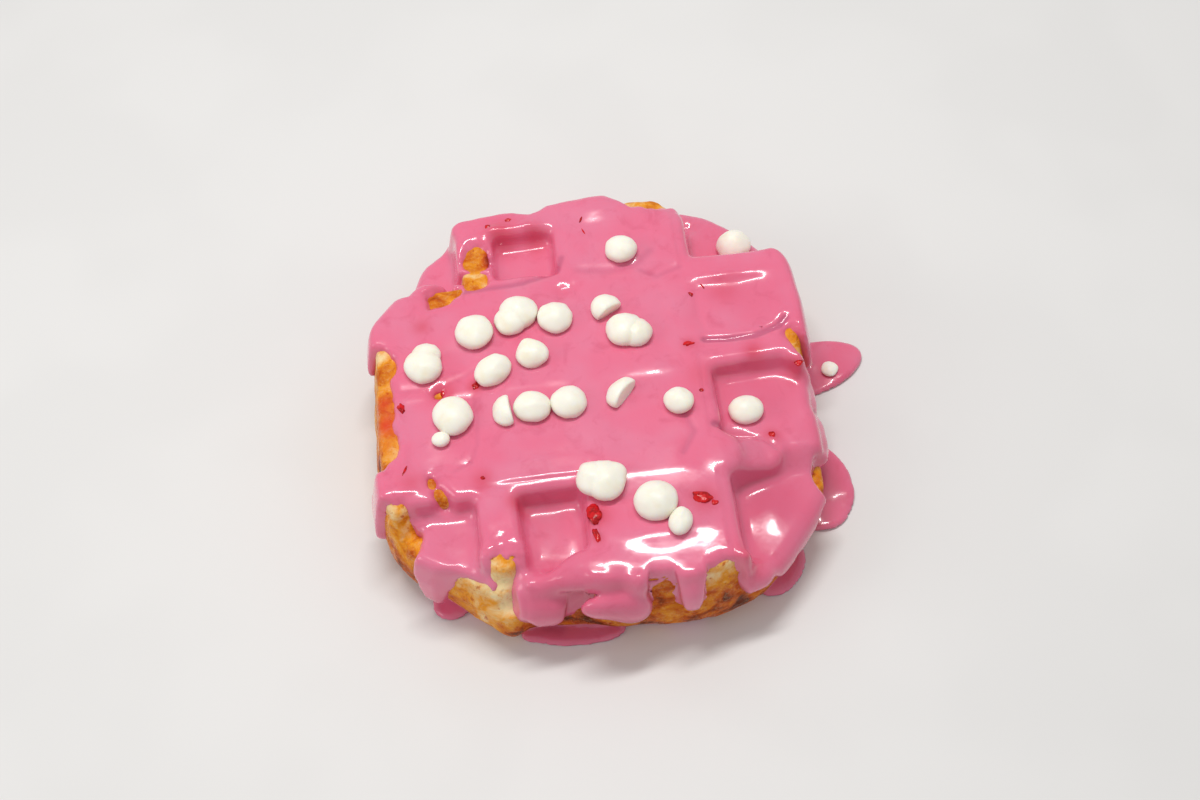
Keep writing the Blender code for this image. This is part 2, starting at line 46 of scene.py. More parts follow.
waffle = {
    "thickness": 24.0,
    "pocketFloor": 13.0,
    "pocketCeiling": 3.8,  # of the shallow pockets on the underside
    "ribX": (-46.3, -24.6, -2.0, 20.7, 45.0),
    "ribY": (50.0, 29.3, 5.6, -19.7, -43.6),
    "ribCrest": 3.0,  # half the width of a rib on top
    "ribFoot": 4.8,  # half its width at the pocket's floor
    "lowerDraft": 0.2,  # how much wider a lower rib gets with each millimetre up
    "crestRound": 1.6,  # how softly its surfaces meet, here and in the next six
    "tailRound": 1.8,
    "footRound": 2.0,
    "edgeRound": 2.0,
    "lowerRound": 1.0,
    "lowerFootRound": 1.8,
    "crossingRound": 2.0,
    "rimTop": 2.4,  # how far the side wall leans in at the top
    "rimBottom": 2.5,
    "flangeHeight": 8.0,  # where the dough reaches furthest out
    "lumps": 0.3,  # depth of the crust's unevenness
    "pores": 0.16,
}

# The outline that the batter spread to, counter-clockwise
outline = (
    (46.3, 0.0), (48.2, 9.0), (48.4, 24.0), (47.0, 33.0), (42.0, 39.5), (36.0, 47.0),
    (29.0, 52.2), (22.0, 54.8), (6.0, 56.0), (-8.0, 54.6), (-20.0, 52.8), (-29.0, 52.0),
    (-36.0, 46.0), (-40.0, 37.5), (-49.5, 26.0), (-51.0, 14.0), (-51.0, -12.0),
    (-49.5, -24.5), (-45.0, -31.8), (-38.0, -37.0), (-31.0, -43.2), (-24.6, -47.4),
    (-19.0, -45.4), (-9.0, -46.6), (3.0, -48.6), (15.0, -49.2), (24.0, -46.8),
    (31.0, -43.6), (39.5, -34.6), (46.2, -24.0), (46.4, -12.0),
)
outlineSteps = 6  # points from one of these to the next

# Upper ribs that the dough filled: from and to, with the height at each end
full = waffle["thickness"]
ribX = waffle["ribX"]
ribY = waffle["ribY"]
fullRibs = (
    ((ribX[0], -22.0), (ribX[0], 21.0)),
    ((ribX[1], -38.0), (ribX[1], ribY[0])),
    ((ribX[2], ribY[4]), (ribX[2], ribY[0])),
    ((ribX[3], ribY[4]), (ribX[3], 46.5)),
    ((ribX[4], ribY[2]), (ribX[4], 27.0)),
    ((ribX[1], ribY[0]), (17.5, ribY[0])),
    ((-36.0, ribY[1]), (43.0, ribY[1])),
    ((-36.0, ribY[1]), (ribX[0], 21.0)),
    ((ribX[0], ribY[2]), (ribX[3], ribY[2])),
    ((ribX[3], 6.4), (ribX[4], 7.8)),
    ((ribX[0], ribY[3]), (24.0, ribY[3])),
    ((-3.0, ribY[4]), (ribX[3], ribY[4])),
)
ribTails = (  # stretches of rib that slope down to a broken end
    ((ribX[0], -22.0, full), (-44.5, -29.5, 14.0)),
    ((ribX[1], -38.0, full), (ribX[1], -45.0, 13.0)),
    ((24.0, ribY[3], full), (33.4, -18.4, 20.0)),
    ((-26.0, -40.6, 18.6), (-42.0, -30.6, 18.0)),  # the low rib at the left front
)

icing = {
    "coat": 1.2,
    "edgeSoft": 1.2,  # how much rounder the coat's edges are than the dough's
    "poolLevels": (  # rows from the rear, columns from the left
        (15.3, 20.8, 25.3, 15.3),
        (25.2, 25.3, 25.3, 24.9),
        (24.9, 25.3, 25.3, 20.0),
        (19.7, 19.2, 25.4, 16.2),
    ),
    "skirt": 1.7,  # its thickness on the sides
    "hem": 13.0,  # how low it hangs where nothing else is said
    "hemRound": 2.4,
    "under": 0.7,  # how deep its hidden inner wall lies in the dough
    "ripple": 0.22,
    "riseShare": 0.7,  # how much of a rise or a dip the coat on the ribs takes
    "mostDip": -0.8,
    "sideFrom": 4.0,  # how far inside the rim the skirts begin, and where they are full
    "sideTo": 1.0,
    "hemFall": 0.8,  # how fast the skin ends below the hem
    "patchSlope": (1.1, 2.8),  # how steep a bare patch's edge is, on top and on the sides
    "patchLimits": (-1.6, 5.0),
    "patchRound": 0.9,
    "brimRound": 2.4,  # how round the brim of a full pocket is
    "poolRound": 2.2,  # how far a pool's surface curves up to the ribs
    "flushRound": 0.7,  # the same where it is level with them
    "flushFrom": 21.0,  # the level from which a pool begins to cover the ribs
    "flushTo": 24.6,
    "overRib": 2.4,  # how far past a rib's middle it then reaches, and how much less softly
    "overRibEdge": 1.8,
    "footRound": 1.4,  # how softly the run-off joins the skirts
    "restRound": 0.3,
    "foldShadeTint": 1.4,  # how quickly the painted shade in a fold grows with its depth
    "facesKept": 0.62,  # the share of its faces that is left when the hidden wall is thinned
}
rearCorner = {  # the blunt rear corner of the pools that are full
    "slope": (0.8, 0.6),
    "reach": 2.0,
    "from": 34.0,
    "elsewhere": 8.0,
}

# Seeds of the smooth noise in the plan
seeds = {"ripple": 3, "fineRipple": 4, "patchEdge": 5, "finePatchEdge": 6, "puddle": 7}

# Where the icing runs lower, or stops higher: a place on the rim, width, hem, thickness
drips = (
    (-17.3, -45.4, 13.5, 9.5, 2.9),  # the tongue below the open front pocket
    (-10.4, -46.4, 6.0, 20.5, 1.6),
    (-5.2, -47.4, 9.0, 20.0, 2.2),
    (1.6, -48.4, 6.0, 18.0, 2.0),  # the stream that feeds the leaf-shaped drop
    (7.4, -48.8, 11.5, 27.0, 1.2),  # the bare arch
    (13.4, -49.2, 6.4, 13.5, 2.2),
    (20.0, -47.8, 11.5, 27.0, 1.2),
    (27.0, -45.5, 8.0, 12.5, 2.2),
    (34.0, -40.8, 10.0, 9.5, 1.8),
    (39.5, -34.6, 16.0, 9.5, 1.8),
    (46.4, -23.0, 9.0, 14.5, 1.2),
    (46.4, -12.0, 12.0, 3.0, 2.6),
    (46.6, -2.0, 9.0, 5.0, 2.4),
    (48.2, 15.0, 18.0, 1.8, 2.0),
    (42.0, 39.5, 14.0, 8.0, 1.8),
    (29.0, 52.2, 11.0, 9.0, 1.8),
    (6.0, 56.0, 12.0, 7.0, 2.0),
    (-20.0, 52.8, 11.0, 6.0, 2.0),
    (-38.0, 42.0, 12.0, 8.0, 1.8),
    (-51.0, 12.0, 9.0, 6.0, 1.6),
    (-50.5, -19.0, 13.0, 8.5, 1.8),
    (-40.0, -35.6, 9.0, 3.5, 1.8),
)

# Bare patches of dough: middle, half the size each way, and turn in degrees
barePatches = (
    (-49.8, 1.6, 5.0, 14.6, 0.0),
    (-47.4, -28.4, 6.4, 5.8, -40.0),
    (-32.2, -44.4, 9.0, 5.0, -38.0),
    (-24.3, -45.2, 3.3, 8.6, 0.0),
    (17.0, 53.2, 7.8, 3.8, -10.0),
    (-11.0, 53.8, 3.2, 1.8, 3.0),
    (45.6, 6.3, 4.6, 1.8, -58.0),
    (-24.3, 39.6, 3.0, 3.6, 0.0),
    (-25.2, 34.0, 3.2, 2.5, 0.0),
    (-33.0, 29.6, 4.4, 2.4, 25.0),
    (-38.0, -18.6, 1.3, 1.9, 15.0),
    (-36.4, -21.6, 1.1, 1.9, 30.0),
    (-48.6, 12.2, 4.4, 5.2, 0.0),
    (-48.4, -8.6, 4.2, 5.4, 0.0),
    (46.8, -23.2, 3.2, 4.8, 14.0),
    (21.6, -48.4, 3.4, 3.4, 0.0),
    (7.6, -50.2, 3.2, 3.0, 0.0),
    (-35.3, 3.4, 1.5, 1.2, 40.0),
)

# Thick lumps of icing that slid over the front: middle, half the size each way, how
# far each is turned in the plane of the front in degrees, and how softly it joins
lobes = (
    (-6.0, -42.4, 22.8, 7.0, 4.2, 3.0, 0.0, 1.8),
    (-8.6, -44.3, 21.6, 4.4, 2.0, 2.2, 0.0, 1.6),
    (-17.2, -43.4, 16.6, 5.0, 2.8, 4.8, 0.0, 3.8),
    (-17.4, -45.6, 12.4, 4.6, 2.2, 3.2, 0.0, 2.8),
    (2.6, -47.5, 21.0, 2.0, 1.7, 4.6, -8.0, 1.4),
    (-2.9, -49.0, 17.4, 6.8, 2.3, 3.9, -4.0, 1.4),
    (0.8, -49.2, 14.8, 3.9, 2.2, 4.2, 25.0, 1.6),
    (13.6, -48.8, 17.2, 2.4, 1.9, 4.2, 0.0, 1.6),
    (27.2, -44.6, 15.4, 3.4, 2.4, 2.4, 0.0, 2.2),
    (47.4, -11.0, 7.0, 2.2, 4.6, 4.6, 0.0, 1.6),
    (47.4, 0.0, 6.0, 2.0, 3.2, 3.0, 0.0, 1.6),
    (-51.6, 7.0, 8.0, 1.6, 3.2, 3.0, 0.0, 1.6),
)

# Gentle rises and dips of the icing's surface: middle, half the size each way, height
swells = (
    (3.0, 51.0, 10.0, 5.0, 1.1), (11.0, 31.6, 9.0, 2.4, -0.5), (-4.4, 27.0, 3.2, 2.8, -1.2),
    (32.0, 27.0, 11.0, 2.6, 0.5), (33.0, 22.0, 12.0, 6.0, -0.5),
    (23.6, 17.0, 2.4, 6.0, -0.5), (24.6, 52.6, 5.0, 5.0, -7.0),
    (-35.0, 17.0, 8.0, 5.0, 0.3), (-12.0, -12.0, 9.0, 6.0, 0.5), (14.0, -14.0, 8.0, 9.0, 0.4),
    (8.0, -37.5, 12.0, 4.0, 0.7), (4.0, 6.0, 12.0, 5.0, 0.35), (16.0, 10.0, 5.0, 10.0, -0.35),
    (-36.0, -15.6, 6.0, 2.4, -0.2), (22.6, 4.0, 3.0, 12.0, 0.3), (-16.0, 48.6, 9.0, 3.0, 0.5),
    (-10.0, -32.0, 2.2, 6.0, 0.5), (-17.0, 46.4, 6.0, 2.6, 0.8), (-37.0, -6.0, 5.0, 6.0, 0.5),
    (-20.0, 46.8, 2.6, 1.6, 1.0), (-11.0, 47.4, 3.0, 1.8, 1.0),
    (-18.0, -34.0, 3.0, 6.0, 0.5), (30.0, -10.0, 7.0, 4.0, 0.5), (33.0, -30.0, 6.0, 7.0, 0.6),
    (-14.5, -46.6, 11.0, 2.6, -3.0),
)

# Narrow folds where two runs of icing met, which also get painted shade along them: points along each, half
# its width, its depth
folds = (
    (((24.6, 9.4), (30.0, 8.9), (36.0, 9.2), (41.5, 11.0), (43.6, 13.0)), 0.8, 0.9),
    (((-43.5, 4.9), (-39.0, 4.4), (-34.7, 4.8), (-30.0, 6.4), (-26.7, 8.4)), 1.0, 0.22),
    (((-27.6, 1.0), (-27.2, -5.0), (-27.6, -11.0), (-29.4, -15.4), (-33.0, -17.0)), 1.0, 0.25),
    (((-42.8, -1.0), (-43.0, -7.0), (-42.0, -13.0)), 1.3, 0.12),
    (((-1.0, 32.6), (6.0, 31.4), (12.0, 32.6), (16.0, 36.0)), 1.6, 0.3),
    (((13.0, 31.0), (16.5, 28.4), (22.0, 30.4)), 1.1, 0.3),
    (((17.5, -9.0), (19.0, -14.0), (16.0, -19.0)), 1.0, 0.35),
    (((23.6, -12.6), (28.0, -13.6), (33.6, -15.0), (36.4, -17.6)), 0.9, 0.8),
    (((-27.4, 30.2), (-14.0, 30.8), (-6.0, 33.4), (-4.6, 37.0)), 1.0, 0.5),
)

# Icing on the surface below: a place on the rim, width, reach outwards, lean along it
puddles = {
    "puddle_right": (48.3, 14.0, 16.0, 14.8, -3.0),
    "puddle_right_front": (46.4, -17.0, 24.5, 7.4, 0.0),
    "puddle_front_right": (36.4, -38.0, 15.5, 1.6, 0.0),
    "puddle_front": (-11.8, -46.2, 23.0, 1.8, 1.0),
    "puddle_left_front": (-38.6, -36.6, 9.0, 1.6, 0.0),
}
puddleDepth = 1.2
puddleSmoothing = 30  # rounds


# Small helpers for fields: smooth joins of two distances, and a soft step

def smoothMin(a, b, k):
    h = np.clip(0.5 + 0.5 * (b - a) / k, 0.0, 1.0)
    return b * (1.0 - h) + a * h - k * h * (1.0 - h)


def smoothMax(a, b, k):
    return -smoothMin(-a, -b, k)


def softStep(low, high, value):
    t = np.clip((value - low) / (high - low), 0.0, 1.0)
    return t * t * (3.0 - 2.0 * t)


def closedCurve(points, steps):
    out = []
    count = len(points)
    for i in range(count):
        a, b, c, d = (np.array(points[(i + k - 1) % count], float) for k in range(4))
        for j in range(steps):
            t = j / steps
            out.append(0.5 * (2 * b + (c - a) * t + (2 * a - 5 * b + 4 * c - d) * t**2
                              + (3 * b - 3 * c + d - a) * t**3))
    return np.array(out)


# The rim: the outline as a smooth closed line, and how far along it each point lies
rim = closedCurve(outline, outlineSteps)
rimStep = np.roll(rim, -1, axis=0) - rim
rimLengths = np.linalg.norm(rimStep, axis=1)
rimStart = np.concatenate(([0.0], np.cumsum(rimLengths)[:-1]))
rimRound = rimLengths.sum()


def rimPlace(x, y):
    # how far inside the rim each point is, and how far along it
    best = np.full(np.shape(x), 1e9)
    along = np.zeros(np.shape(x))
    inside = np.zeros(np.shape(x), bool)
    for i in range(len(rim)):
        awayX = x - rim[i, 0]
        awayY = y - rim[i, 1]
        part = np.clip((awayX * rimStep[i, 0] + awayY * rimStep[i, 1]) / rimLengths[i]**2, 0.0, 1.0)
        gap = np.hypot(awayX - rimStep[i, 0] * part, awayY - rimStep[i, 1] * part)
        closer = gap < best
        best = np.where(closer, gap, best)
        along = np.where(closer, rimStart[i] + part * rimLengths[i], along)
        endY = rim[i, 1] + rimStep[i, 1]
        if abs(rimStep[i, 1]) > 1e-9:
            crossing = (rim[i, 1] > y) != (endY > y)
            inside ^= crossing & (x < rim[i, 0] + (y - rim[i, 1]) * rimStep[i, 0] / rimStep[i, 1])
    return np.where(inside, best, -best), along


def rimAlong(x, y):
    return float(rimPlace(np.array([x]), np.array([y]))[1][0])


def rimAway(along, place):
    away = np.abs(along - place)
    return np.minimum(away, rimRound - away)


def segmentAway(x, y, start, end):
    # distance from a straight rib's middle line, and how far along it
    stepX = end[0] - start[0]
    stepY = end[1] - start[1]
    part = np.clip(((x - start[0]) * stepX + (y - start[1]) * stepY) / (stepX**2 + stepY**2), 0.0, 1.0)
    return np.hypot(x - start[0] - stepX * part, y - start[1] - stepY * part), part


def valueNoise(x, y, size, seed):
    # smooth noise in the plan, from -1 to 1
    draw = np.random.default_rng(seed).uniform(-1.0, 1.0, (64, 64))
    u = x / size + 32.0
    v = y / size + 32.0
    i = np.floor(u).astype(int)
    j = np.floor(v).astype(int)
    s = softStep(0.0, 1.0, u - i)
    t = softStep(0.0, 1.0, v - j)
    low = draw[i % 64, j % 64] * (1 - s) + draw[(i + 1) % 64, j % 64] * s
    high = draw[i % 64, (j + 1) % 64] * (1 - s) + draw[(i + 1) % 64, (j + 1) % 64] * s
    return low * (1 - t) + high * t


# Maps over the plan. The solid fields below are worked out from them at every height.
mapStep = 0.33
mapLow = np.array((-57.0, -57.0))
mapCount = (380, 364)
farAway = 60.0  # where nothing is near


def flushShare(level):
    # 1 where a pool's level reaches the ribs' tops, and 0 where it is well below
    return softStep(icing["flushFrom"], icing["flushTo"], level)


def acrossRib(before, after, place, at):
    # a pool that is level with a rib covers it up to the rib's far edge
    lean = flushShare(before) - flushShare(after)
    middle = place + icing["overRib"] * lean
    half = waffle["ribCrest"] - icing["overRibEdge"] * np.abs(lean)
    return before + (after - before) * softStep(middle - half, middle + half, at)


def hemAndSkirt(along):
    # how low the icing hangs around the rim, and how thick it is there
    hem = np.full(along.shape, icing["hem"]) + 1.2 * np.sin(along * 0.21) + 0.8 * np.sin(along * 0.47 + 1.0)
    skirt = np.full(along.shape, icing["skirt"])
    for px, py, width, low, thick in drips:
        away = rimAway(along, rimAlong(px, py)) / (0.5 * width)
        share = 1.0 - softStep(0.3, 1.0, away)
        hem += (low - hem) * share
        skirt += (thick - skirt) * share
    return hem, skirt


def upperRibs(x, y):
    # the distance from the middle line of the nearest rib
    away = np.full(x.shape, farAway)
    for start, end in fullRibs:
        away = smoothMin(away, segmentAway(x, y, start, end)[0], waffle["crossingRound"])
    return away


def lowerRibs(x, y):
    away = np.full(x.shape, farAway)
    for at, places in ((x, ribX), (y, ribY)):
        for place in places:
            away = smoothMin(away, np.abs(at - place), waffle["crossingRound"])
    return away


def poolLevel(x, y):
    # the pools' levels, blended across the ribs
    for row, levels in enumerate(icing["poolLevels"]):
        across = np.full(x.shape, levels[0])
        for column in (1, 2, 3):
            across = acrossRib(across, levels[column], ribX[column], x)
        level = across if row == 0 else acrossRib(level, across, -ribY[row], -y)
    return level


def swellHeight(x, y):
    ripple = valueNoise(x, y, 9.0, seeds["ripple"]) + 0.5 * valueNoise(x, y, 4.5, seeds["fineRipple"])
    rise = icing["ripple"] * ripple
    for px, py, halfX, halfY, height in swells:
        rise += height * np.exp(-1.6 * (((x - px) / halfX)**2 + ((y - py) / halfY)**2))
    return rise


def foldDepth(x, y):
    fold = np.zeros(x.shape)
    for points, half, depth in folds:
        away = np.full(x.shape, farAway)
        for start, end in zip(points[:-1], points[1:]):
            away = np.minimum(away, segmentAway(x, y, start, end)[0])
        fold = np.maximum(fold, depth * np.exp(-(away / half)**2))
    return fold


def roundCorner(x, y, flush):
    # how far each point is outside it
    slopeX, slopeY = rearCorner["slope"]
    corner = (x - ribX[3]) * slopeX + (y - ribY[0]) * slopeY - rearCorner["reach"]
    corner = np.minimum(corner, y - rearCorner["from"])
    return corner * flush - rearCorner["elsewhere"] * (1.0 - flush)


def patchAway(x, y, inset):
    # how far each point is outside the nearest bare patch
    bare = np.full(x.shape, 0.5 * farAway)
    for px, py, halfX, halfY, turn in barePatches:
        c = math.cos(math.radians(turn))
        s = math.sin(math.radians(turn))
        u = ((x - px) * c + (y - py) * s) / halfX
        v = (-(x - px) * s + (y - py) * c) / halfY
        bare = np.minimum(bare, (np.hypot(u, v) - 1.0) * min(halfX, halfY))
    ragged = softStep(1.5, 5.0, inset)  # only on top, as it smears down a wall
    bare += (0.12 + 0.38 * ragged) * valueNoise(x, y, 2.6, seeds["patchEdge"])
    return bare + 0.3 * ragged * valueNoise(x, y, 1.2, seeds["finePatchEdge"])


def puddleAway(inset, along):
    # how far each point is outside the icing on the surface below
    out = -inset
    puddle = np.full(inset.shape, 20.0)
    for px, py, width, reach, lean in puddles.values():
        away = (along - rimAlong(px, py) + 0.5 * rimRound) % rimRound - 0.5 * rimRound
        share = (away + lean * np.maximum(out, 0.0) / max(reach, 1.0)) / (0.5 * width)
        swell = (1.0 - np.clip(share, -1.0, 1.0)**2)**0.6
        edge = (out + 1.0 - (2.2 + reach) * swell) * 0.75
        beside = (np.abs(share) - 1.0) * 0.5 * width
        puddle = smoothMin(puddle, smoothMax(edge, beside, 0.8), 1.0)
    for _ in range(puddleSmoothing):  # round off the corners that the rim's short sides leave
        for axis in (0, 1):
            puddle = 0.5 * puddle + 0.25 * (np.roll(puddle, 1, axis) + np.roll(puddle, -1, axis))
    return puddle


def buildMaps():
    x, y = np.meshgrid(mapLow[0] + mapStep * np.arange(mapCount[0]),
                       mapLow[1] + mapStep * np.arange(mapCount[1]), indexing="ij")
    inset, along = rimPlace(x, y)
    hem, skirt = hemAndSkirt(along)
    level = poolLevel(x, y)
    flush = flushShare(level)
    fold = foldDepth(x, y)
    rise = swellHeight(x, y) - fold
    maps = {
        "inset": inset, "hem": hem, "skirt": skirt, "rib": upperRibs(x, y), "under": lowerRibs(x, y),
        "flush": flush, "fold": fold, "rise": rise, "level": level + rise,
        "corner": roundCorner(x, y, flush), "bare": patchAway(x, y, inset),
        "puddle": puddleAway(inset, along),
        "puddleTop": puddleDepth * (1.0 + 0.35 * valueNoise(x, y, 4.0, seeds["puddle"])),
    }
    for i, (start, end) in enumerate(ribTails):
        away, part = segmentAway(x, y, start[:2], end[:2])
        maps["tail%d" % i] = away
        maps["tailTop%d" % i] = start[2] + (end[2] - start[2]) * part
    return maps


planMaps = buildMaps()
print("plan maps ready")


def lookUp(x, y):
    # the maps' values at any points of the plan
    u = np.clip((x - mapLow[0]) / mapStep, 0.0, mapCount[0] - 1.001)
    v = np.clip((y - mapLow[1]) / mapStep, 0.0, mapCount[1] - 1.001)
    i = u.astype(int)
    j = v.astype(int)
    s = u - i
    t = v - j
    out = {"x": x, "y": y}
    for name, grid in planMaps.items():
        out[name] = ((grid[i, j] * (1 - s) + grid[i + 1, j] * s) * (1 - t)
                     + (grid[i, j + 1] * (1 - s) + grid[i + 1, j + 1] * s) * t)
    return out


def sideWall(m, z):
    # how far outside the dough's side wall a point is
    flange = waffle["flangeHeight"]
    above = np.clip((z - flange) / (full - flange), 0.0, 1.4)
    below = np.clip((flange - z) / flange, 0.0, 1.4)
    return -m["inset"] + waffle["rimTop"] * above**2 + waffle["rimBottom"] * below**2


def doughField(m, z, soft):
    # distance from the dough's surface, less than nothing inside; soft rounds it more
    draft = (waffle["ribFoot"] - waffle["ribCrest"]) / (full - waffle["pocketFloor"])
    wall = waffle["ribCrest"] + (full - z) * draft
    rib = smoothMax(m["rib"] - wall, z - full, waffle["crestRound"] * soft)
    top = smoothMin(rib, z - waffle["pocketFloor"], waffle["footRound"] * soft)
    for i in range(len(ribTails)):
        crest = m["tailTop%d" % i]
        wall = waffle["ribCrest"] + (crest - z) * draft
        tail = smoothMax(m["tail%d" % i] - wall, z - crest, waffle["tailRound"] * soft)
        top = smoothMin(top, tail, waffle["footRound"] * soft)
    wall = waffle["ribCrest"] + z * waffle["lowerDraft"]
    low = smoothMax(m["under"] - wall, -z, waffle["lowerRound"])
    low = smoothMin(low, waffle["pocketCeiling"] - z, waffle["lowerFootRound"])
    return smoothMax(smoothMax(top, low, waffle["lowerRound"]), sideWall(m, z), waffle["edgeRound"] * soft)


def withLobes(out, m, z):
    for x, y, height, halfX, halfY, halfZ, turn, soft in lobes:
        c = math.cos(math.radians(turn))
        s = math.sin(math.radians(turn))
        along = ((m["x"] - x) * c + (z - height) * s) / halfX
        across = (-(m["x"] - x) * s + (z - height) * c) / halfZ
        reach = np.sqrt(along**2 + across**2 + ((m["y"] - y) / halfY)**2)
        out = smoothMin(out, (reach - 1.0) * min(halfX, halfY, halfZ), soft)
    return out


def icingField(m, z):
    side = 1.0 - softStep(icing["sideTo"], icing["sideFrom"], m["inset"])
    # the skirt's thickness, round at its hem, and less than nothing below that
    hang = np.clip((z - m["hem"]) / icing["hemRound"], 0.0, 1.0)
    ended = np.maximum((z - m["hem"]) * icing["hemFall"], icing["patchLimits"][0])
    hang = np.where(z < m["hem"], ended, m["skirt"] * np.sqrt(hang * (2.0 - hang)))
    coat = icing["coat"] + icing["riseShare"] * np.maximum(m["rise"], icing["mostDip"])
    thick = coat * (1.0 - side) + hang * side
    # a bare patch's edge is steeper on the walls, where the plan is short
    onTop, onSide = icing["patchSlope"]
    patch = np.clip(m["bare"] * (onTop + (onSide - onTop) * side), *icing["patchLimits"])
    thick = smoothMin(thick, patch, icing["patchRound"])
    coated = doughField(m, z, icing["edgeSoft"]) - thick
    pool = smoothMax(z - m["level"], sideWall(m, z) - 0.5 * hang, icing["brimRound"])
    pool = smoothMax(pool, m["corner"], icing["brimRound"])
    pool = smoothMax(pool, -m["bare"] * 0.8, 1.0)
    # pools that are level with the ribs join them flat, and lower ones curve up to them
    poolRound = icing["poolRound"] - (icing["poolRound"] - icing["flushRound"]) * m["flush"]
    out = withLobes(smoothMin(coated, pool, poolRound), m, z)
    puddle = smoothMax(m["puddle"], z - m["puddleTop"], icing["footRound"])
    out = smoothMin(out, puddle, icing["footRound"])
    out = smoothMax(out, -z, icing["restRound"])
    return np.maximum(out, -(doughField(m, z, 1.0) + icing["under"]))


# A closed surface through a field's zero, one vertex in each cell that it crosses

def surfaceNet(field, low, step):
    inside = field < 0.0
    cells = tuple(n - 1 for n in field.shape)
    total = np.zeros(cells + (3,))
    hits = np.zeros(cells)
    corners = [(i, j, k) for i in (0, 1) for j in (0, 1) for k in (0, 1)]

    def part(values, corner):
        return values[tuple(slice(corner[a], corner[a] + cells[a]) for a in range(3))]

    for a in corners:
        for axis in range(3):
            if a[axis]:
                continue
            b = tuple(a[i] + (1 if i == axis else 0) for i in range(3))
            fa = part(field, a)
            fb = part(field, b)
            cross = part(inside, a) != part(inside, b)
            t = np.where(cross, fa / np.where(cross, fa - fb, 1.0), 0.0)
            for i in range(3):
                total[..., i] += np.where(cross, a[i] + (t if i == axis else 0.0), 0.0)
            hits += cross
    active = hits > 0
    index = np.full(cells, -1)
    index[active] = np.arange(active.sum())
    base = np.stack(np.nonzero(active), axis=1)
    verts = low + step * (base + total[active] / hits[active][:, None])
    quads = []
    for axis in range(3):
        u, v = [a for a in range(3) if a != axis]
        first = [slice(None)] * 3
        second = [slice(None)] * 3
        first[axis] = slice(0, -1)
        second[axis] = slice(1, None)
        for a in (u, v):
            first[a] = slice(1, -1)
            second[a] = slice(1, -1)
        start = inside[tuple(first)]
        end = inside[tuple(second)]
        flip = start if axis != 1 else end
        place = np.stack(np.nonzero(start != end), axis=1)
        turned = flip[start != end]
        ring = []
        for du, dv in ((0, 0), (1, 0), (1, 1), (0, 1)):
            cell = place.copy()
            cell[:, u] += du
            cell[:, v] += dv
            ring.append(index[cell[:, 0], cell[:, 1], cell[:, 2]])
        ring = np.stack(ring, axis=1)
        ring[~turned] = ring[~turned][:, ::-1]
        quads.append(ring)
    return verts, np.concatenate(quads)


gridStep = 2.0 * mapStep
gridTop = 31.5
probe = 0.05  # how far apart a field is read to find its slope
longestPull = 0.3
scrapSize = 500  # vertices in the smallest part of a mesh that is kept


def solidFrom(fieldAt, rounds):
    # mesh a field, and pull the vertices onto it
    low = np.array((mapLow[0], mapLow[1], -1.5 * gridStep))
    xs = mapLow[0] + gridStep * np.arange(mapCount[0] // 2)
    ys = mapLow[1] + gridStep * np.arange(mapCount[1] // 2)
    zs = low[2] + gridStep * np.arange(int(gridTop / gridStep))
    columns = {name: grid[::2, ::2][:len(xs), :len(ys), None] for name, grid in planMaps.items()}
    columns["x"] = xs[:, None, None]
    columns["y"] = ys[None, :, None]
    verts, quads = surfaceNet(fieldAt(columns, zs[None, None, :]), low, gridStep)

    def at(points):
        return fieldAt(lookUp(points[:, 0], points[:, 1]), points[:, 2])

    for _ in range(rounds):
        here = at(verts)
        slope = np.stack([(at(verts + probe * axis) - here) / probe for axis in np.eye(3)], axis=1)
        size = np.maximum((slope**2).sum(1), 0.25)
        move = -slope * (here / size)[:, None]
        length = np.linalg.norm(move, axis=1)
        verts = verts + move * np.minimum(1.0, longestPull / np.maximum(length, 1e-9))[:, None]
    return verts, quads


def dropScraps(verts, quads):
    # keep only connected pieces with enough vertices
    group = np.arange(len(verts))
    while True:
        low = group[quads].min(axis=1)
        fresh = group.copy()
        for k in range(4):
            np.minimum.at(fresh, quads[:, k], low)
        fresh = fresh[fresh]
        if (fresh == group).all():
            break
        group = fresh
    counts = np.bincount(group, minlength=len(verts))
    keep = counts[group] >= scrapSize
    quads = quads[keep[quads].all(axis=1)]
    renumber = np.cumsum(keep) - 1
    return verts[keep], renumber[quads]


def newPiece(name, verts, faces, material):
    # verts in millimetres of the waffle's plan
    mesh = bpy.data.meshes.new(name)
    placed = (np.asarray(verts) - np.array((planMiddle[0], planMiddle[1], 0.0))) * metres
    mesh.from_pydata(placed.tolist(), [], np.asarray(faces).tolist())
    mesh.polygons.foreach_set("use_smooth", [True] * len(mesh.polygons))
    mesh.materials.append(material)
    piece = bpy.data.objects.new(name, mesh)
    bpy.context.scene.collection.objects.link(piece)
    return piece


def paintValues(piece, **layers):
    # values at the vertices, which the materials read by these names
    for name, values in layers.items():
        layer = piece.data.attributes.new(name, "FLOAT", "POINT")
        layer.data.foreach_set("value", values.astype(np.float32))


def spotsAt(verts, spots, fall):
    # the strongest of some round spots in the plan, at each vertex
    out = np.zeros(len(verts))
    for x, y, radius, strength in spots:
        away = (verts[:, 0] - x)**2 + (verts[:, 1] - y)**2
        out = np.maximum(out, strength * np.exp(-fall * away / radius**2))
    return out


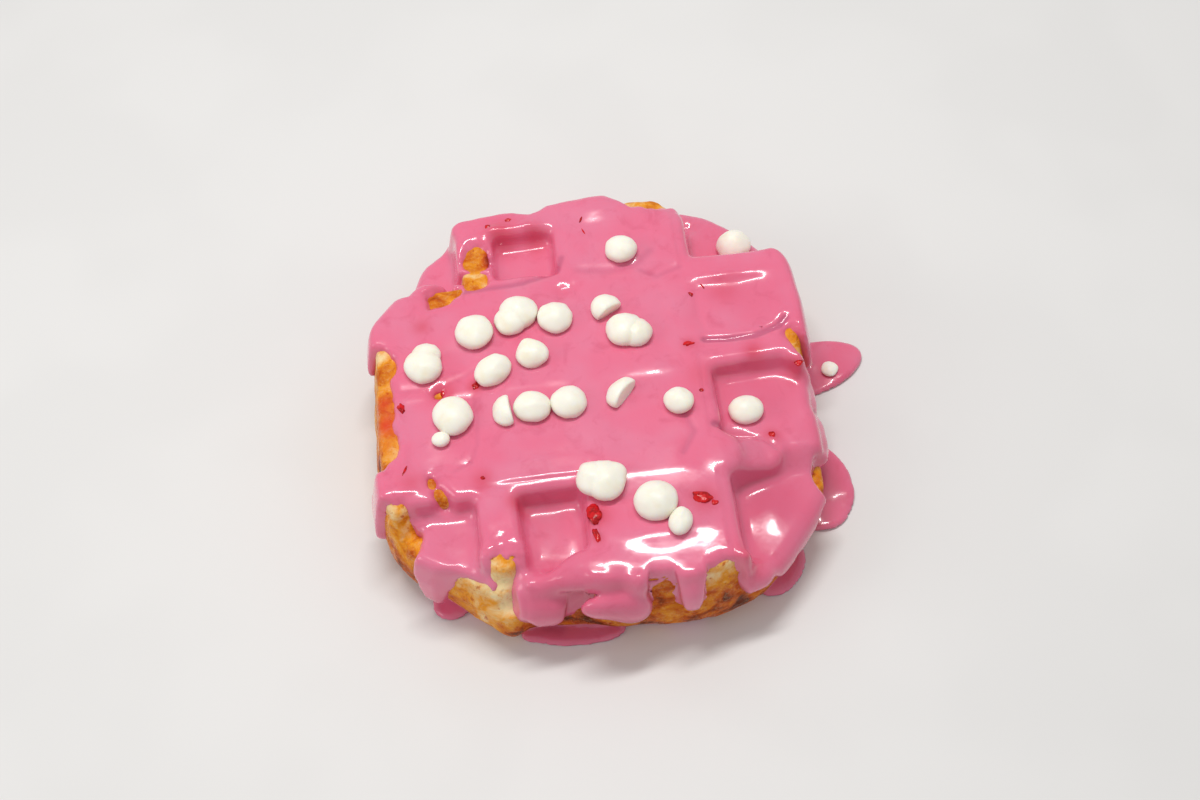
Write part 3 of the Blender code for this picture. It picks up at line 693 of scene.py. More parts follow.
def thinned(piece, where, share):
    # merge faces where nobody sees them, down to this share of them all
    group = piece.vertex_groups.new(name="hidden")
    group.add(np.nonzero(where)[0].tolist(), 1.0, "REPLACE")
    modifier = piece.modifiers.new("thin", "DECIMATE")
    modifier.ratio = share
    modifier.vertex_group = group.name
    modifier.vertex_group_factor = 1000.0
    ready = piece.evaluated_get(bpy.context.evaluated_depsgraph_get())
    plain = bpy.data.meshes.new_from_object(ready)
    plain.name = piece.name
    piece.modifiers.clear()
    piece.vertex_groups.clear()
    piece.data = plain
    return piece


# Materials

class Recipe:
    # a short way to write node materials
    def __init__(self, name):
        self.material = bpy.data.materials.new(name)
        self.material.use_nodes = True
        self.nodes = self.material.node_tree.nodes
        self.links = self.material.node_tree.links
        self.shader = self.nodes["Principled BSDF"]
        self.place = self.nodes.new("ShaderNodeTexCoord").outputs["Object"]

    def set(self, **values):
        for name, value in values.items():
            self.shader.inputs[name.replace("_", " ")].default_value = value

    def join(self, out, socket):
        self.links.new(out, socket)

    def noise(self, size, detail=3.0, rough=0.5, distort=0.0):
        node = self.nodes.new("ShaderNodeTexNoise")
        node.inputs["Scale"].default_value = 1.0 / (size * metres)
        node.inputs["Detail"].default_value = detail
        node.inputs["Roughness"].default_value = rough
        node.inputs["Distortion"].default_value = distort
        self.join(self.place, node.inputs["Vector"])
        return node.outputs["Fac"]

    def cells(self, size):
        node = self.nodes.new("ShaderNodeTexVoronoi")
        node.inputs["Scale"].default_value = 1.0 / (size * metres)
        self.join(self.place, node.inputs["Vector"])
        return node.outputs["Distance"]

    def attribute(self, name):
        node = self.nodes.new("ShaderNodeAttribute")
        node.attribute_name = name
        return node.outputs["Fac"]

    def math(self, kind, a, b):
        node = self.nodes.new("ShaderNodeMath")
        node.operation = kind
        for socket, value in zip(node.inputs, (a, b)):
            if isinstance(value, (int, float)):
                socket.default_value = value
            else:
                self.join(value, socket)
        return node.outputs[0]

    def spread(self, value, low, high, to=(0.0, 1.0)):
        node = self.nodes.new("ShaderNodeMapRange")
        node.interpolation_type = "SMOOTHSTEP"
        node.inputs["From Min"].default_value = low
        node.inputs["From Max"].default_value = high
        node.inputs["To Min"].default_value = to[0]
        node.inputs["To Max"].default_value = to[1]
        self.join(value, node.inputs["Value"])
        return node.outputs["Result"]

    def ramp(self, value, stops):
        node = self.nodes.new("ShaderNodeValToRGB")
        ramp = node.color_ramp
        while len(ramp.elements) < len(stops):
            ramp.elements.new(0.5)
        for element, (at, colour) in zip(ramp.elements, stops):
            element.position = at
            element.color = (*colour, 1.0)
        self.join(value, node.inputs["Fac"])
        return node.outputs["Color"]

    def mix(self, share, a, b):
        node = self.nodes.new("ShaderNodeMix")
        node.data_type = "RGBA"
        self.join(share, node.inputs[0])
        # the colour sockets of this node come after its number and vector ones
        for socket, value in ((node.inputs[6], a), (node.inputs[7], b)):
            if isinstance(value, tuple):
                socket.default_value = (*value, 1.0)
            else:
                self.join(value, socket)
        return node.outputs[2]

    def bump(self, height, strength, depth, under=None):
        node = self.nodes.new("ShaderNodeBump")
        node.inputs["Strength"].default_value = strength
        node.inputs["Distance"].default_value = depth * metres
        self.join(height, node.inputs["Height"])
        if under is not None:
            self.join(under, node.inputs["Normal"])
        return node.outputs["Normal"]

    def finish(self, colour, normal, roughness=None):
        self.join(colour, self.shader.inputs["Base Color"])
        self.join(normal, self.shader.inputs["Normal"])
        if roughness is not None:
            self.join(roughness, self.shader.inputs["Roughness"])
        return self.material


icingLook = {
    "lit": (0.82, 0.165, 0.29),
    # deep pink, which also paints shade
    "deep": (0.66, 0.085, 0.18),
    "pale": (0.80, 0.20, 0.33),
    "juice": (0.66, 0.03, 0.07),
    # the colour of the painted shade in the folds
    "fold": (0.42, 0.07, 0.17),
    "roughness": (0.14, 0.26),
}
doughLook = {
    "pale": (0.92, 0.71, 0.38),
    "gold": (0.84, 0.33, 0.02),
    "brown": (0.55, 0.095, 0.002),
    "dark": (0.13, 0.018, 0.001),
    "jam": (0.72, 0.055, 0.02),
}
candyLook = {"ivory": (0.97, 0.945, 0.83), "shade": (0.94, 0.88, 0.72)}
berryLook = {"red": (0.68, 0.006, 0.012), "dark": (0.34, 0.001, 0.004)}


def makeIcingMaterial():
    r = Recipe("pinkIcing")
    blend = r.spread(r.noise(14.0, 2.0), 0.35, 0.65)
    colour = r.mix(blend, icingLook["lit"], icingLook["pale"])
    colour = r.mix(r.spread(r.noise(5.0, 4.0, 0.6, 0.6), 0.5, 0.78, (0.0, 0.45)), colour, icingLook["deep"])
    speck = r.spread(r.cells(3.1), 0.05, 0.0, (0.0, 0.5))
    colour = r.mix(speck, colour, icingLook["juice"])
    # painted shade under ledges, lobes and walls, mixed with the deeper pink of thick icing
    colour = r.mix(r.attribute("deep"), colour, icingLook["deep"])
    # painted shade along the folds
    colour = r.mix(r.spread(r.attribute("fold"), 0.12, 0.8, (0.0, 0.5)), colour, icingLook["fold"])
    colour = r.mix(r.attribute("stain"), colour, icingLook["juice"])
    height = r.noise(6.0, 3.0, 0.45)
    normal = r.bump(height, 0.35, 0.35)
    normal = r.bump(r.noise(1.1, 2.0), 0.12, 0.06, normal)
    r.set(Subsurface_Weight=0.2, Subsurface_Scale=0.0015, Coat_Weight=0.6, Coat_Roughness=0.06, IOR=1.42)
    r.shader.inputs["Subsurface Radius"].default_value = (1.0, 0.35, 0.4)
    rough = r.spread(r.noise(9.0, 3.0), 0.3, 0.7, icingLook["roughness"])
    return r.finish(colour, normal, rough)


def makeDoughMaterial():
    r = Recipe("bakedDough")
    blotch = r.math("MULTIPLY", r.math("SUBTRACT", r.noise(5.0, 5.0, 0.6, 0.5), 0.5), 1.7)
    bake = r.math("ADD", r.attribute("bake"), blotch)
    colour = r.ramp(bake, ((0.0, doughLook["pale"]), (0.38, doughLook["gold"]), (0.72, doughLook["brown"]),
                           (1.0, doughLook["dark"])))
    grain = r.spread(r.noise(0.8, 4.0, 0.65), 0.5, 0.75, (0.0, 0.22))
    colour = r.mix(grain, colour, doughLook["pale"])
    pits = r.spread(r.noise(1.5, 3.0, 0.5), 0.6, 0.72, (0.0, 0.75))
    colour = r.mix(pits, colour, doughLook["brown"])
    # jam, and a narrow painted shadow on the rear rib
    colour = r.mix(r.attribute("jam"), colour, doughLook["jam"])
    pores = r.spread(r.cells(1.3), 0.0, 0.45)
    normal = r.bump(pores, 0.45, 0.3)
    normal = r.bump(r.noise(0.7, 5.0, 0.65), 0.6, 0.25, normal)
    normal = r.bump(r.noise(3.4, 3.0), 0.5, 0.5, normal)
    r.set(Subsurface_Weight=0.05, Subsurface_Scale=0.001, IOR=1.4, Specular_IOR_Level=0.2)
    rough = r.spread(r.noise(2.4, 3.0), 0.35, 0.65, (0.22, 0.6))
    return r.finish(colour, normal, rough)


def makeCandyMaterial():
    r = Recipe("ivoryCandy")
    colour = r.mix(r.spread(r.noise(3.0, 3.0), 0.45, 0.8), candyLook["ivory"], candyLook["shade"])
    normal = r.bump(r.noise(2.2, 3.0, 0.5), 0.3, 0.25)
    normal = r.bump(r.noise(0.5, 2.0), 0.15, 0.05, normal)
    r.set(Subsurface_Weight=0.3, Subsurface_Scale=0.0015, IOR=1.45)
    r.shader.inputs["Subsurface Radius"].default_value = (1.0, 0.8, 0.55)
    rough = r.spread(r.noise(4.0, 2.0), 0.3, 0.7, (0.32, 0.5))
    return r.finish(colour, normal, rough)


def makeBerryMaterial():
    r = Recipe("redBerry")
    colour = r.mix(r.spread(r.noise(1.2, 3.0), 0.4, 0.65), berryLook["red"], berryLook["dark"])
    normal = r.bump(r.noise(0.8, 3.0), 0.5, 0.2)
    r.set(Subsurface_Weight=0.2, Subsurface_Scale=0.001, IOR=1.42)
    rough = r.spread(r.noise(1.5, 2.0), 0.3, 0.7, (0.12, 0.28))
    return r.finish(colour, normal, rough)


icingMaterial = makeIcingMaterial()
doughMaterial = makeDoughMaterial()
candyMaterial = makeCandyMaterial()
berryMaterial = makeBerryMaterial()
print("materials ready")


def crustNoise(verts, size, seed):
    shift = Vector((seed * 17.3, seed * 5.1, seed * 9.7))
    return np.array([noise.noise(Vector(v) / size + shift) for v in verts.tolist()])


def vertexNormals(verts, quads):
    flat = np.cross(verts[quads[:, 2]] - verts[quads[:, 0]], verts[quads[:, 3]] - verts[quads[:, 1]])
    out = np.zeros(verts.shape)
    for k in range(4):
        np.add.at(out, quads[:, k], flat)
    return out / np.maximum(np.linalg.norm(out, axis=1), 1e-12)[:, None]


# Where the crust is browner, or paler, and one painted shadow: a place, its radius and how much
bakeSpots = (
    (7.0, -47.0, 13.0, 9.0, 0.26), (20.0, -46.0, 8.0, 8.0, 0.24), (-10.0, -46.0, 10.0, 6.0, 0.3),
    (-24.4, -42.0, 17.0, 5.5, -0.55), (-33.4, -41.0, 16.0, 4.6, -0.04), (-22.0, -47.5, 6.0, 4.0, 0.16),
    (21.4, -45.0, 23.0, 4.0, -0.3), (10.0, -46.5, 2.0, 5.0, -0.25), (-46.0, -23.0, 22.0, 4.0, -0.28),
    # the spot at (-21.0, 39.6) is painted shadow on the right flank of the bare patch on the rear rib
    (-44.0, -31.0, 10.0, 7.0, 0.12), (-41.0, -26.0, 14.0, 3.0, 0.3), (-21.0, 39.6, 22.0, 2.2, 0.7),
    (-25.6, 40.5, 25.0, 2.4, -0.05), (-46.4, 16.4, 24.0, 4.4, -0.4), (-45.8, 10.6, 24.0, 2.4, 0.2),
    (-33.0, 29.6, 24.0, 4.0, 0.22), (-43.6, -0.6, 24.0, 1.8, 0.5), (-49.2, -9.4, 19.0, 2.6, 0.55),
    (-46.8, -9.0, 24.0, 3.0, -0.12), (-29.0, -43.0, 8.0, 4.0, -0.2), (-49.0, 12.0, 18.0, 6.0, -0.1),
    (-51.0, -14.0, 14.0, 7.0, 0.2), (47.0, -23.0, 10.0, 5.0, -0.1), (16.0, 53.0, 22.0, 7.0, 0.0),
)

# Where jam shows on the bare crust, and one painted shadow: a place, half the size each way and how much
jamSpots = (
    (-47.0, -2.6, 3.0, 3.6, 0.95), (-47.2, 2.6, 2.6, 3.0, 0.75), (-47.6, -7.4, 2.2, 3.0, 0.35),
    # this narrow dark red-brown strip is painted shadow at the right edge of the bare patch on the rear rib
    (-21.6, 38.6, 1.2, 3.6, 0.5),
)

# How brown the crust is everywhere, and what is added where it met the iron
browning = {"all": 0.36, "crests": 0.1, "lowerHalf": 0.2, "lumps": 0.12, "rim": 0.14}


def makeDough():
    verts, quads = dropScraps(*solidFrom(lambda m, z: doughField(m, z, 1.0), 2))
    normals = vertexNormals(verts, quads)
    lumps = crustNoise(verts, 5.0, 1)
    pores = crustNoise(verts, 1.7, 2)
    # the lower ribs' flat crests stay flat, as the waffle rests on them
    resting = 1.0 - softStep(0.3, 1.5, verts[:, 2])
    push = waffle["lumps"] * lumps - waffle["pores"] * np.maximum(pores, 0.0) * 2.0
    verts = verts + normals * (push * (1.0 - resting))[:, None]
    verts[:, 2] = np.maximum(verts[:, 2], 0.0)
    piece = newPiece("doughSquare", verts, quads, doughMaterial)
    m = lookUp(verts[:, 0], verts[:, 1])
    # browner where it met the iron: on the crests, the lower half and the outer edge
    bake = browning["all"] + softStep(21.5, 23.8, verts[:, 2]) * browning["crests"]
    bake += browning["lowerHalf"] * (1.0 - softStep(2.0, waffle["pocketFloor"], verts[:, 2]))
    bake += browning["lumps"] * lumps + browning["rim"] * softStep(-3.0, -0.5, -m["inset"])
    for x, y, z, radius, strength in bakeSpots:
        away = (verts[:, 0] - x)**2 + (verts[:, 1] - y)**2 + (verts[:, 2] - z)**2
        bake += strength * np.exp(-away / radius**2)
    jam = np.zeros(len(verts))
    for x, y, halfX, halfY, strength in jamSpots:
        spot = strength * np.exp(-((verts[:, 0] - x) / halfX)**2 - ((verts[:, 1] - y) / halfY)**2)
        jam = np.maximum(jam, spot)
    jam = jam * softStep(waffle["pocketFloor"], 18.0, verts[:, 2])
    paintValues(piece, bake=bake, jam=jam)
    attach(piece, "root")
    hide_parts("waffle")
    print("dough", len(piece.data.polygons), "faces")


# Redder spots where berry juice shows through the icing: a place, radius and strength
stains = (
    (-4.0, -32.0, 4.0, 0.7), (18.6, -30.6, 4.4, 0.6), (-27.0, 4.0, 2.6, 0.7), (-34.0, 3.6, 4.4, 0.6),
    (44.0, 1.0, 3.2, 0.5), (35.0, 5.0, 3.2, 0.6), (-37.8, 21.6, 3.0, 0.5), (-10.0, 45.0, 4.0, 0.5),
    (-18.0, 46.0, 5.0, 0.6), (21.0, 8.6, 2.4, 0.5), (-20.4, -26.0, 3.2, 0.6), (36.0, -14.4, 2.6, 0.6),
    (-27.0, -20.0, 3.4, 0.5), (22.4, 0.0, 5.0, 0.35), (-42.0, -18.6, 3.6, 0.4), (26.0, -44.0, 4.0, 0.5),
    (31.0, 23.0, 5.0, 0.35), (-4.6, -37.0, 2.2, 0.5), (-34.0, 30.0, 4.0, 0.4),
)

# Painted shade under ledges and lobes, on walls and on the run-offs, mixed with the deeper pink where the
# icing is thick: a place, a radius and strength
deepSpots = (
    (34.0, -29.0, 12.0, 0.6), (30.0, -21.8, 4.0, 0.3), (-14.0, -24.0, 6.0, 0.4), (-2.0, -49.0, 6.0, 0.4),
    (54.0, 12.0, 9.0, 0.5), (50.0, -18.0, 9.0, 0.5), (-12.0, -48.6, 9.0, 0.5), (-17.0, -47.0, 5.0, 0.3),
    (38.0, -3.0, 9.0, 0.3), (38.0, 20.0, 8.0, 0.2), (-34.0, -32.0, 7.0, 0.2),
)


def makeIcing():
    # the coat with its skirts and drips, and the run-offs on the surface below
    verts, quads = dropScraps(*solidFrom(icingField, 3))
    verts[:, 2] = np.maximum(verts[:, 2], 0.0)
    # its inner wall is hidden in the dough, so it keeps few faces
    hidden = doughField(lookUp(verts[:, 0], verts[:, 1]), verts[:, 2], 1.0) < -0.8 * icing["under"]
    piece = thinned(newPiece("pinkIcingCoat", verts, quads, icingMaterial), hidden, icing["facesKept"])
    verts = np.zeros(3 * len(piece.data.vertices))
    piece.data.vertices.foreach_get("co", verts)
    verts = verts.reshape(-1, 3) / metres + np.array((planMiddle[0], planMiddle[1], 0.0))
    upper = softStep(20.0, 22.0, verts[:, 2])
    # painted shade in the folds on top
    fold = np.clip(lookUp(verts[:, 0], verts[:, 1])["fold"] * icing["foldShadeTint"], 0.0, 1.0) * upper
    # the last of these paints shade under ledges, lobes and walls, mixed with the deeper pink of thick icing
    paintValues(piece, stain=spotsAt(verts, stains, 2.0), fold=fold, deep=spotsAt(verts, deepSpots, 1.2))
    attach(piece, "root")
    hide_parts("icing", *puddles)
    print("icing", len(piece.data.polygons), "faces")


def icingHeight(x, y):
    # where the icing's upper surface is over a point
    heights = np.arange(30.5, 0.3, -0.1)
    here = {name: float(value[0]) for name, value in lookUp(np.array([x]), np.array([y])).items()}
    here = {name: np.full(len(heights), value) for name, value in here.items()}
    values = icingField(here, heights)
    inside = np.nonzero(values < 0.0)[0]
    return float(heights[inside[0]]) if len(inside) else 0.0


# The chips, which one node tree shapes from their own sizes: place, width, depth,
# height, turn and tilt in degrees. Some have a second half that grew on, a drawn-out
# tip, or a straight broken side. The last one's ground is given, as it lies on the
# run-off, and the others' is the icing below them.
chips = {
    "chip_01": {"place": (9.3, 36.3), "size": (7.6, 7.0, 3.3)},
    "chip_02": {"place": (36.6, 41.1), "size": (8.2, 8.0, 4.4), "turn": 20.0},
    "chip_03": {"place": (-26.1, 17.5), "size": (8.2, 8.9, 3.5), "turn": -30.0},
    "chip_04": {"place": (-15.9, 21.7), "size": (8.8, 8.7, 3.7), "second": (-1.8, -1.9, 0.86)},
    "chip_05": {"place": (-7.7, 19.0), "size": (8.0, 8.0, 3.3), "turn": 60.0},
    "chip_06": {"place": (3.9, 20.0), "size": (7.0, 7.4, 3.2), "turn": 30.0, "cut": -0.3, "tilt": 8.0},
    "chip_07": {"place": (7.3, 13.5), "size": (8.4, 8.6, 3.8), "turn": 20.0, "second": (2.0, -1.9, 0.84)},
    "chip_08": {"place": (-37.9, 9.9), "size": (8.4, 8.5, 3.6), "turn": 30.0, "second": (1.9, 2.0, 0.8)},
    "chip_09": {"place": (-22.8, 6.7), "size": (8.8, 7.0, 3.5), "turn": 35.0, "tilt": 6.0},
    "chip_10": {"place": (-13.7, 9.8), "size": (7.4, 6.6, 3.2), "tip": (-0.25, 0.85, 0.3), "tipSize": 0.24},
    "chip_11": {"place": (-32.3, -3.7), "size": (8.7, 9.8, 3.6)},
    "chip_12": {"place": (-35.2, -9.2), "size": (3.9, 3.5, 1.8)},
    "chip_13": {"place": (-20.5, -4.2), "size": (7.4, 6.4, 3.0), "turn": 96.0, "cut": -0.3, "tilt": -8.0},
    "chip_14": {"place": (-15.0, -4.0), "size": (8.2, 7.5, 3.6), "turn": -16.0},
    "chip_15": {"place": (-7.0, -3.9), "size": (7.9, 7.9, 3.5)},
    "chip_16": {"place": (4.8, -3.2), "size": (8.2, 6.4, 3.0), "turn": 50.0, "cut": -0.3, "tilt": -10.0},
    "chip_17": {"place": (16.6, -6.8), "size": (6.5, 6.3, 3.2), "tip": (0.5, -0.6, 0.6), "tipSize": 0.12},
    "chip_18": {"place": (31.3, -7.9), "size": (7.8, 7.0, 3.2)},
    "chip_19": {"place": (-1.6, -24.6), "size": (8.8, 9.2, 4.2), "turn": 20.0, "second": (-1.7, 1.5, 0.88),
                "tip": (0.95, 0.1, 0.3), "tipSize": 0.18},
    "chip_20": {"place": (8.4, -30.8), "size": (9.5, 8.9, 4.4), "tip": (0.4, -0.45, 0.8), "tipSize": 0.1},
    "chip_21": {"place": (12.8, -36.3), "size": (4.9, 6.2, 3.0), "turn": -20.0},
    "chip_22": {"place": (55.5, 12.9), "size": (4.1, 4.0, 1.4), "ground": puddleDepth},
}
chipShape = {
    "sunk": 0.9,  # how far the round underside goes down into the icing
    "lift": 0.5,  # how far the widest part stays above the icing
    "footing": 2.4,  # how far from its middle the icing below a chip is looked up
    "segments": 36,
    "rings": 20,
    "bumpSize": 1.1,
    "bumps": 0.3,
    "tipSharpness": 9.0,
    "domeFullness": 0.5,
    "footWidth": 0.94,
    "cutRound": 0.2,  # how soft the edges of a broken side are
}


def makeChipTree():
    tree = bpy.data.node_groups.new("chipShape", "GeometryNodeTree")
    face = tree.interface
    for kind, names in (("Float", ("Width", "Depth", "Height", "Sunk", "Second", "Tip Size", "Cut", "Seed")),
                        ("Vector", ("Second Place", "Tip", "Place", "Turn")), ("Material", ("Material",))):
        for name in names:
            face.new_socket(name=name, in_out="INPUT", socket_type="NodeSocket" + kind)
    face.new_socket(name="Geometry", in_out="OUTPUT", socket_type="NodeSocketGeometry")
    nodes = tree.nodes
    links = tree.links
    given = nodes.new("NodeGroupInput")
    result = nodes.new("NodeGroupOutput")

    def math(kind, a, b=0.0, c=0.0):
        node = nodes.new("ShaderNodeMath")
        node.operation = kind
        for socket, value in zip(node.inputs, (a, b, c)):
            if isinstance(value, (int, float)):
                socket.default_value = value
            else:
                links.new(value, socket)
        return node.outputs[0]

    def dome(scale, offset):
        ball = nodes.new("GeometryNodeMeshUVSphere")
        ball.inputs["Segments"].default_value = chipShape["segments"]
        ball.inputs["Rings"].default_value = chipShape["rings"]
        ball.inputs["Radius"].default_value = 1.0
        where = nodes.new("GeometryNodeInputPosition")
        split = nodes.new("ShaderNodeSeparateXYZ")
        links.new(where.outputs[0], split.inputs[0])
        bumps = nodes.new("ShaderNodeTexNoise")
        bumps.noise_dimensions = "4D"
        bumps.inputs["Scale"].default_value = chipShape["bumpSize"]
        bumps.inputs["Detail"].default_value = 2.0
        links.new(where.outputs[0], bumps.inputs["Vector"])
        links.new(math("ADD", given.outputs["Seed"], 3.0 * offset), bumps.inputs["W"])
        bump = math("SUBTRACT", bumps.outputs["Fac"], 0.5)
        swell = math("ADD", math("MULTIPLY", bump, chipShape["bumps"]), 1.0)
        # the drawn-out tip grows where the surface faces its direction
        facing = nodes.new("ShaderNodeVectorMath")
        facing.operation = "DOT_PRODUCT"
        links.new(where.outputs[0], facing.inputs[0])
        links.new(given.outputs["Tip"], facing.inputs[1])
        point = math("POWER", math("MAXIMUM", facing.outputs["Value"], 0.0), chipShape["tipSharpness"])
        swell = math("ADD", swell, math("MULTIPLY", point, given.outputs["Tip Size"]))
        # a flat foot below, full sides, and a low dome above
        up = math("MAXIMUM", split.outputs["Z"], 0.0)
        down = math("MINIMUM", split.outputs["Z"], 0.0)
        rise = math("MULTIPLY", up, given.outputs["Height"])
        drop = math("MULTIPLY", down, given.outputs["Sunk"])
        bulge = math("SUBTRACT", up, math("MULTIPLY", up, up))
        fuller = math("ADD", math("MULTIPLY", bulge, chipShape["domeFullness"]), chipShape["footWidth"])
        side = math("SMOOTH_MAX", split.outputs["Y"], given.outputs["Cut"], chipShape["cutRound"])
        spreadX = math("MULTIPLY", math("MULTIPLY", split.outputs["X"], given.outputs["Width"]), 0.5)
        spreadY = math("MULTIPLY", math("MULTIPLY", side, given.outputs["Depth"]), 0.5)
        spreadX = math("MULTIPLY", spreadX, fuller)
        spreadY = math("MULTIPLY", spreadY, fuller)
        join = nodes.new("ShaderNodeCombineXYZ")
        for axis, value in zip("XYZ", (spreadX, spreadY, math("ADD", rise, drop))):
            links.new(math("MULTIPLY", math("MULTIPLY", value, swell), scale), join.inputs[axis])
        place = nodes.new("GeometryNodeSetPosition")
        links.new(ball.outputs["Mesh"], place.inputs["Geometry"])
        links.new(join.outputs[0], place.inputs["Position"])
        return place.outputs[0]

    first = dome(1.0, 0.0)
    second = nodes.new("GeometryNodeTransform")
    links.new(dome(given.outputs["Second"], 1.0), second.inputs["Geometry"])
    links.new(given.outputs["Second Place"], second.inputs["Translation"])
    pair = nodes.new("GeometryNodeMeshBoolean")
    pair.operation = "UNION"
    pair.solver = "EXACT"
    links.new(first, pair.inputs["Mesh 2"])
    links.new(second.outputs[0], pair.inputs["Mesh 2"])
    choose = nodes.new("GeometryNodeSwitch")
    choose.input_type = "GEOMETRY"
    links.new(math("GREATER_THAN", given.outputs["Second"], 0.01), choose.inputs["Switch"])
    links.new(first, choose.inputs["False"])
    links.new(pair.outputs["Mesh"], choose.inputs["True"])
    put = nodes.new("GeometryNodeTransform")
    links.new(choose.outputs[0], put.inputs["Geometry"])
    links.new(given.outputs["Place"], put.inputs["Translation"])
    links.new(given.outputs["Turn"], put.inputs["Rotation"])
    small = nodes.new("GeometryNodeTransform")
    small.inputs["Scale"].default_value = (metres, metres, metres)
    links.new(put.outputs[0], small.inputs["Geometry"])
    smooth = nodes.new("GeometryNodeSetShadeSmooth")
    links.new(small.outputs[0], smooth.inputs["Geometry"])
    real = nodes.new("GeometryNodeRealizeInstances")
    links.new(smooth.outputs[0], real.inputs["Geometry"])
    paint = nodes.new("GeometryNodeSetMaterial")
    links.new(real.outputs[0], paint.inputs["Geometry"])
    links.new(given.outputs["Material"], paint.inputs["Material"])
    links.new(paint.outputs[0], result.inputs[0])
    return tree


def runTree(name, tree, values):
    # run a node tree, and keep its result as a plain mesh
    item = bpy.data.objects.new(name, bpy.data.meshes.new(name + "Start"))
    bpy.context.scene.collection.objects.link(item)
    modifier = item.modifiers.new("shape", "NODES")
    modifier.node_group = tree
    sockets = {s.name: s.identifier for s in tree.interface.items_tree if s.in_out == "INPUT"}
    for key, value in values.items():
        modifier[sockets[key]] = value
    item.update_tag()
    ready = item.evaluated_get(bpy.context.evaluated_depsgraph_get())
    plain = bpy.data.meshes.new_from_object(ready)
    item.modifiers.remove(modifier)
    item.data = plain
    plain.name = name
    return item


def icingBelow(x, y):
    # the highest icing below a chip
    away = chipShape["footing"]
    steps = ((0, 0), (away, 0), (-away, 0), (0, away), (0, -away))
    return max(icingHeight(x + dx, y + dy) for dx, dy in steps)


def makeChips():
    tree = makeChipTree()
    for index, (name, chip) in enumerate(chips.items()):
        x, y = chip["place"]
        width, depth, height = chip["size"]
        tip = Vector(chip.get("tip", (0.0, 0.0, 1.0))).normalized()
        ground = chip["ground"] if "ground" in chip else icingBelow(x, y)
        half = chip.get("second", (0.0, 0.0, 0.0))
        piece = runTree("ivoryChip%02d" % (index + 1), tree, {
            "Width": width, "Depth": depth, "Height": height, "Sunk": chipShape["sunk"], "Second": half[2],
            "Second Place": (half[0], half[1], 0.0),
            "Place": (x - planMiddle[0], y - planMiddle[1], ground + chipShape["lift"]),
            "Tip": tuple(tip), "Tip Size": chip.get("tipSize", 0.0), "Cut": chip.get("cut", -2.0),
            "Turn": (math.radians(chip.get("tilt", 0.0)), 0.0, math.radians(chip.get("turn", 0.0))),
            "Seed": 1.7 * index, "Material": candyMaterial})
        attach(piece, "root")
        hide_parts(name)
    print("chips", len(chips))


# Bits of red berry in the icing: a place, width, depth, height and turn
berryBits = (
    (-4.2, -31.5, 3.4, 4.4, 1.8, 20.0), (-4.6, -36.5, 1.4, 3.6, 1.0, 10.0),
    (18.4, -30.4, 4.4, 2.8, 1.2, -20.0), (20.6, -32.0, 1.8, 1.4, 0.8, 0.0),
    (-43.4, 0.6, 1.6, 3.0, 1.2, 10.0), (-26.9, 4.0, 1.6, 1.8, 0.9, 0.0),
    (-34.0, 3.6, 1.4, 2.4, 0.8, 30.0), (36.0, -14.4, 1.4, 1.8, 0.9, 0.0),
    (44.4, 1.0, 2.0, 1.6, 0.9, 30.0), (21.0, 8.6, 2.2, 1.2, 0.9, 0.0),
    (22.0, -4.0, 0.9, 0.9, 0.5, 0.0), (23.4, 22.5, 1.0, 1.6, 0.5, 40.0),
    (-27.0, -19.6, 1.2, 0.9, 0.5, -30.0), (-16.0, 49.4, 1.6, 1.0, 0.6, 20.0),
    (-20.8, 47.8, 1.4, 1.2, 0.6, 0.0), (50.4, -4.0, 1.6, 2.0, 1.4, 0.0),
    (1.2, 47.4, 0.5, 2.6, 0.4, -24.0), (1.2, 44.0, 0.5, 2.8, 0.4, 22.0),
    (26.3, 24.7, 0.5, 2.4, 0.4, 30.0), (-43.6, -16.0, 0.5, 3.4, 0.4, -24.0),
)
berryRough = 0.5  # how uneven a bit is, as a share of its size
berrySunk = 0.05  # how much of its height lies below the icing's surface


def makeBerryBits():
    body = bmesh.new()
    for index, (x, y, width, depth, height, turn) in enumerate(berryBits):
        ground = max(icingHeight(x, y), 0.5 * height)
        before = len(body.verts)
        bmesh.ops.create_icosphere(body, subdivisions=3, radius=1.0)
        body.verts.ensure_lookup_table()
        new = body.verts[before:]
        for v in new:
            rough = 1.0 + berryRough * noise.noise(v.co * 1.4 + Vector((index * 3.1, 0.0, 0.0)))
            v.co = Vector((v.co.x * 0.5 * width, v.co.y * 0.5 * depth, v.co.z * 0.5 * height)) * rough
        spin = Matrix.Rotation(math.radians(turn), 4, "Z")
        shift = Matrix.Translation((x - planMiddle[0], y - planMiddle[1], ground - berrySunk * height))
        bmesh.ops.transform(body, matrix=Matrix.Scale(metres, 4) @ shift @ spin, verts=new)
    mesh = bpy.data.meshes.new("berryBits")
    body.to_mesh(mesh)
    body.free()
    mesh.polygons.foreach_set("use_smooth", [True] * len(mesh.polygons))
    mesh.materials.append(berryMaterial)
    piece = bpy.data.objects.new("berryBits", mesh)
    bpy.context.scene.collection.objects.link(piece)
    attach(piece, "root")
    print("berry bits", len(berryBits))


# Camera, floor and light

view = {
    "elevation": 57.0,
    "turn": -3.3,
    "roll": 3.9,
    "distance": 350.0,
    "lens": 47.4,
    "sensor": 36.0,
    "target": (0.0, 0.0, 20.0),
}


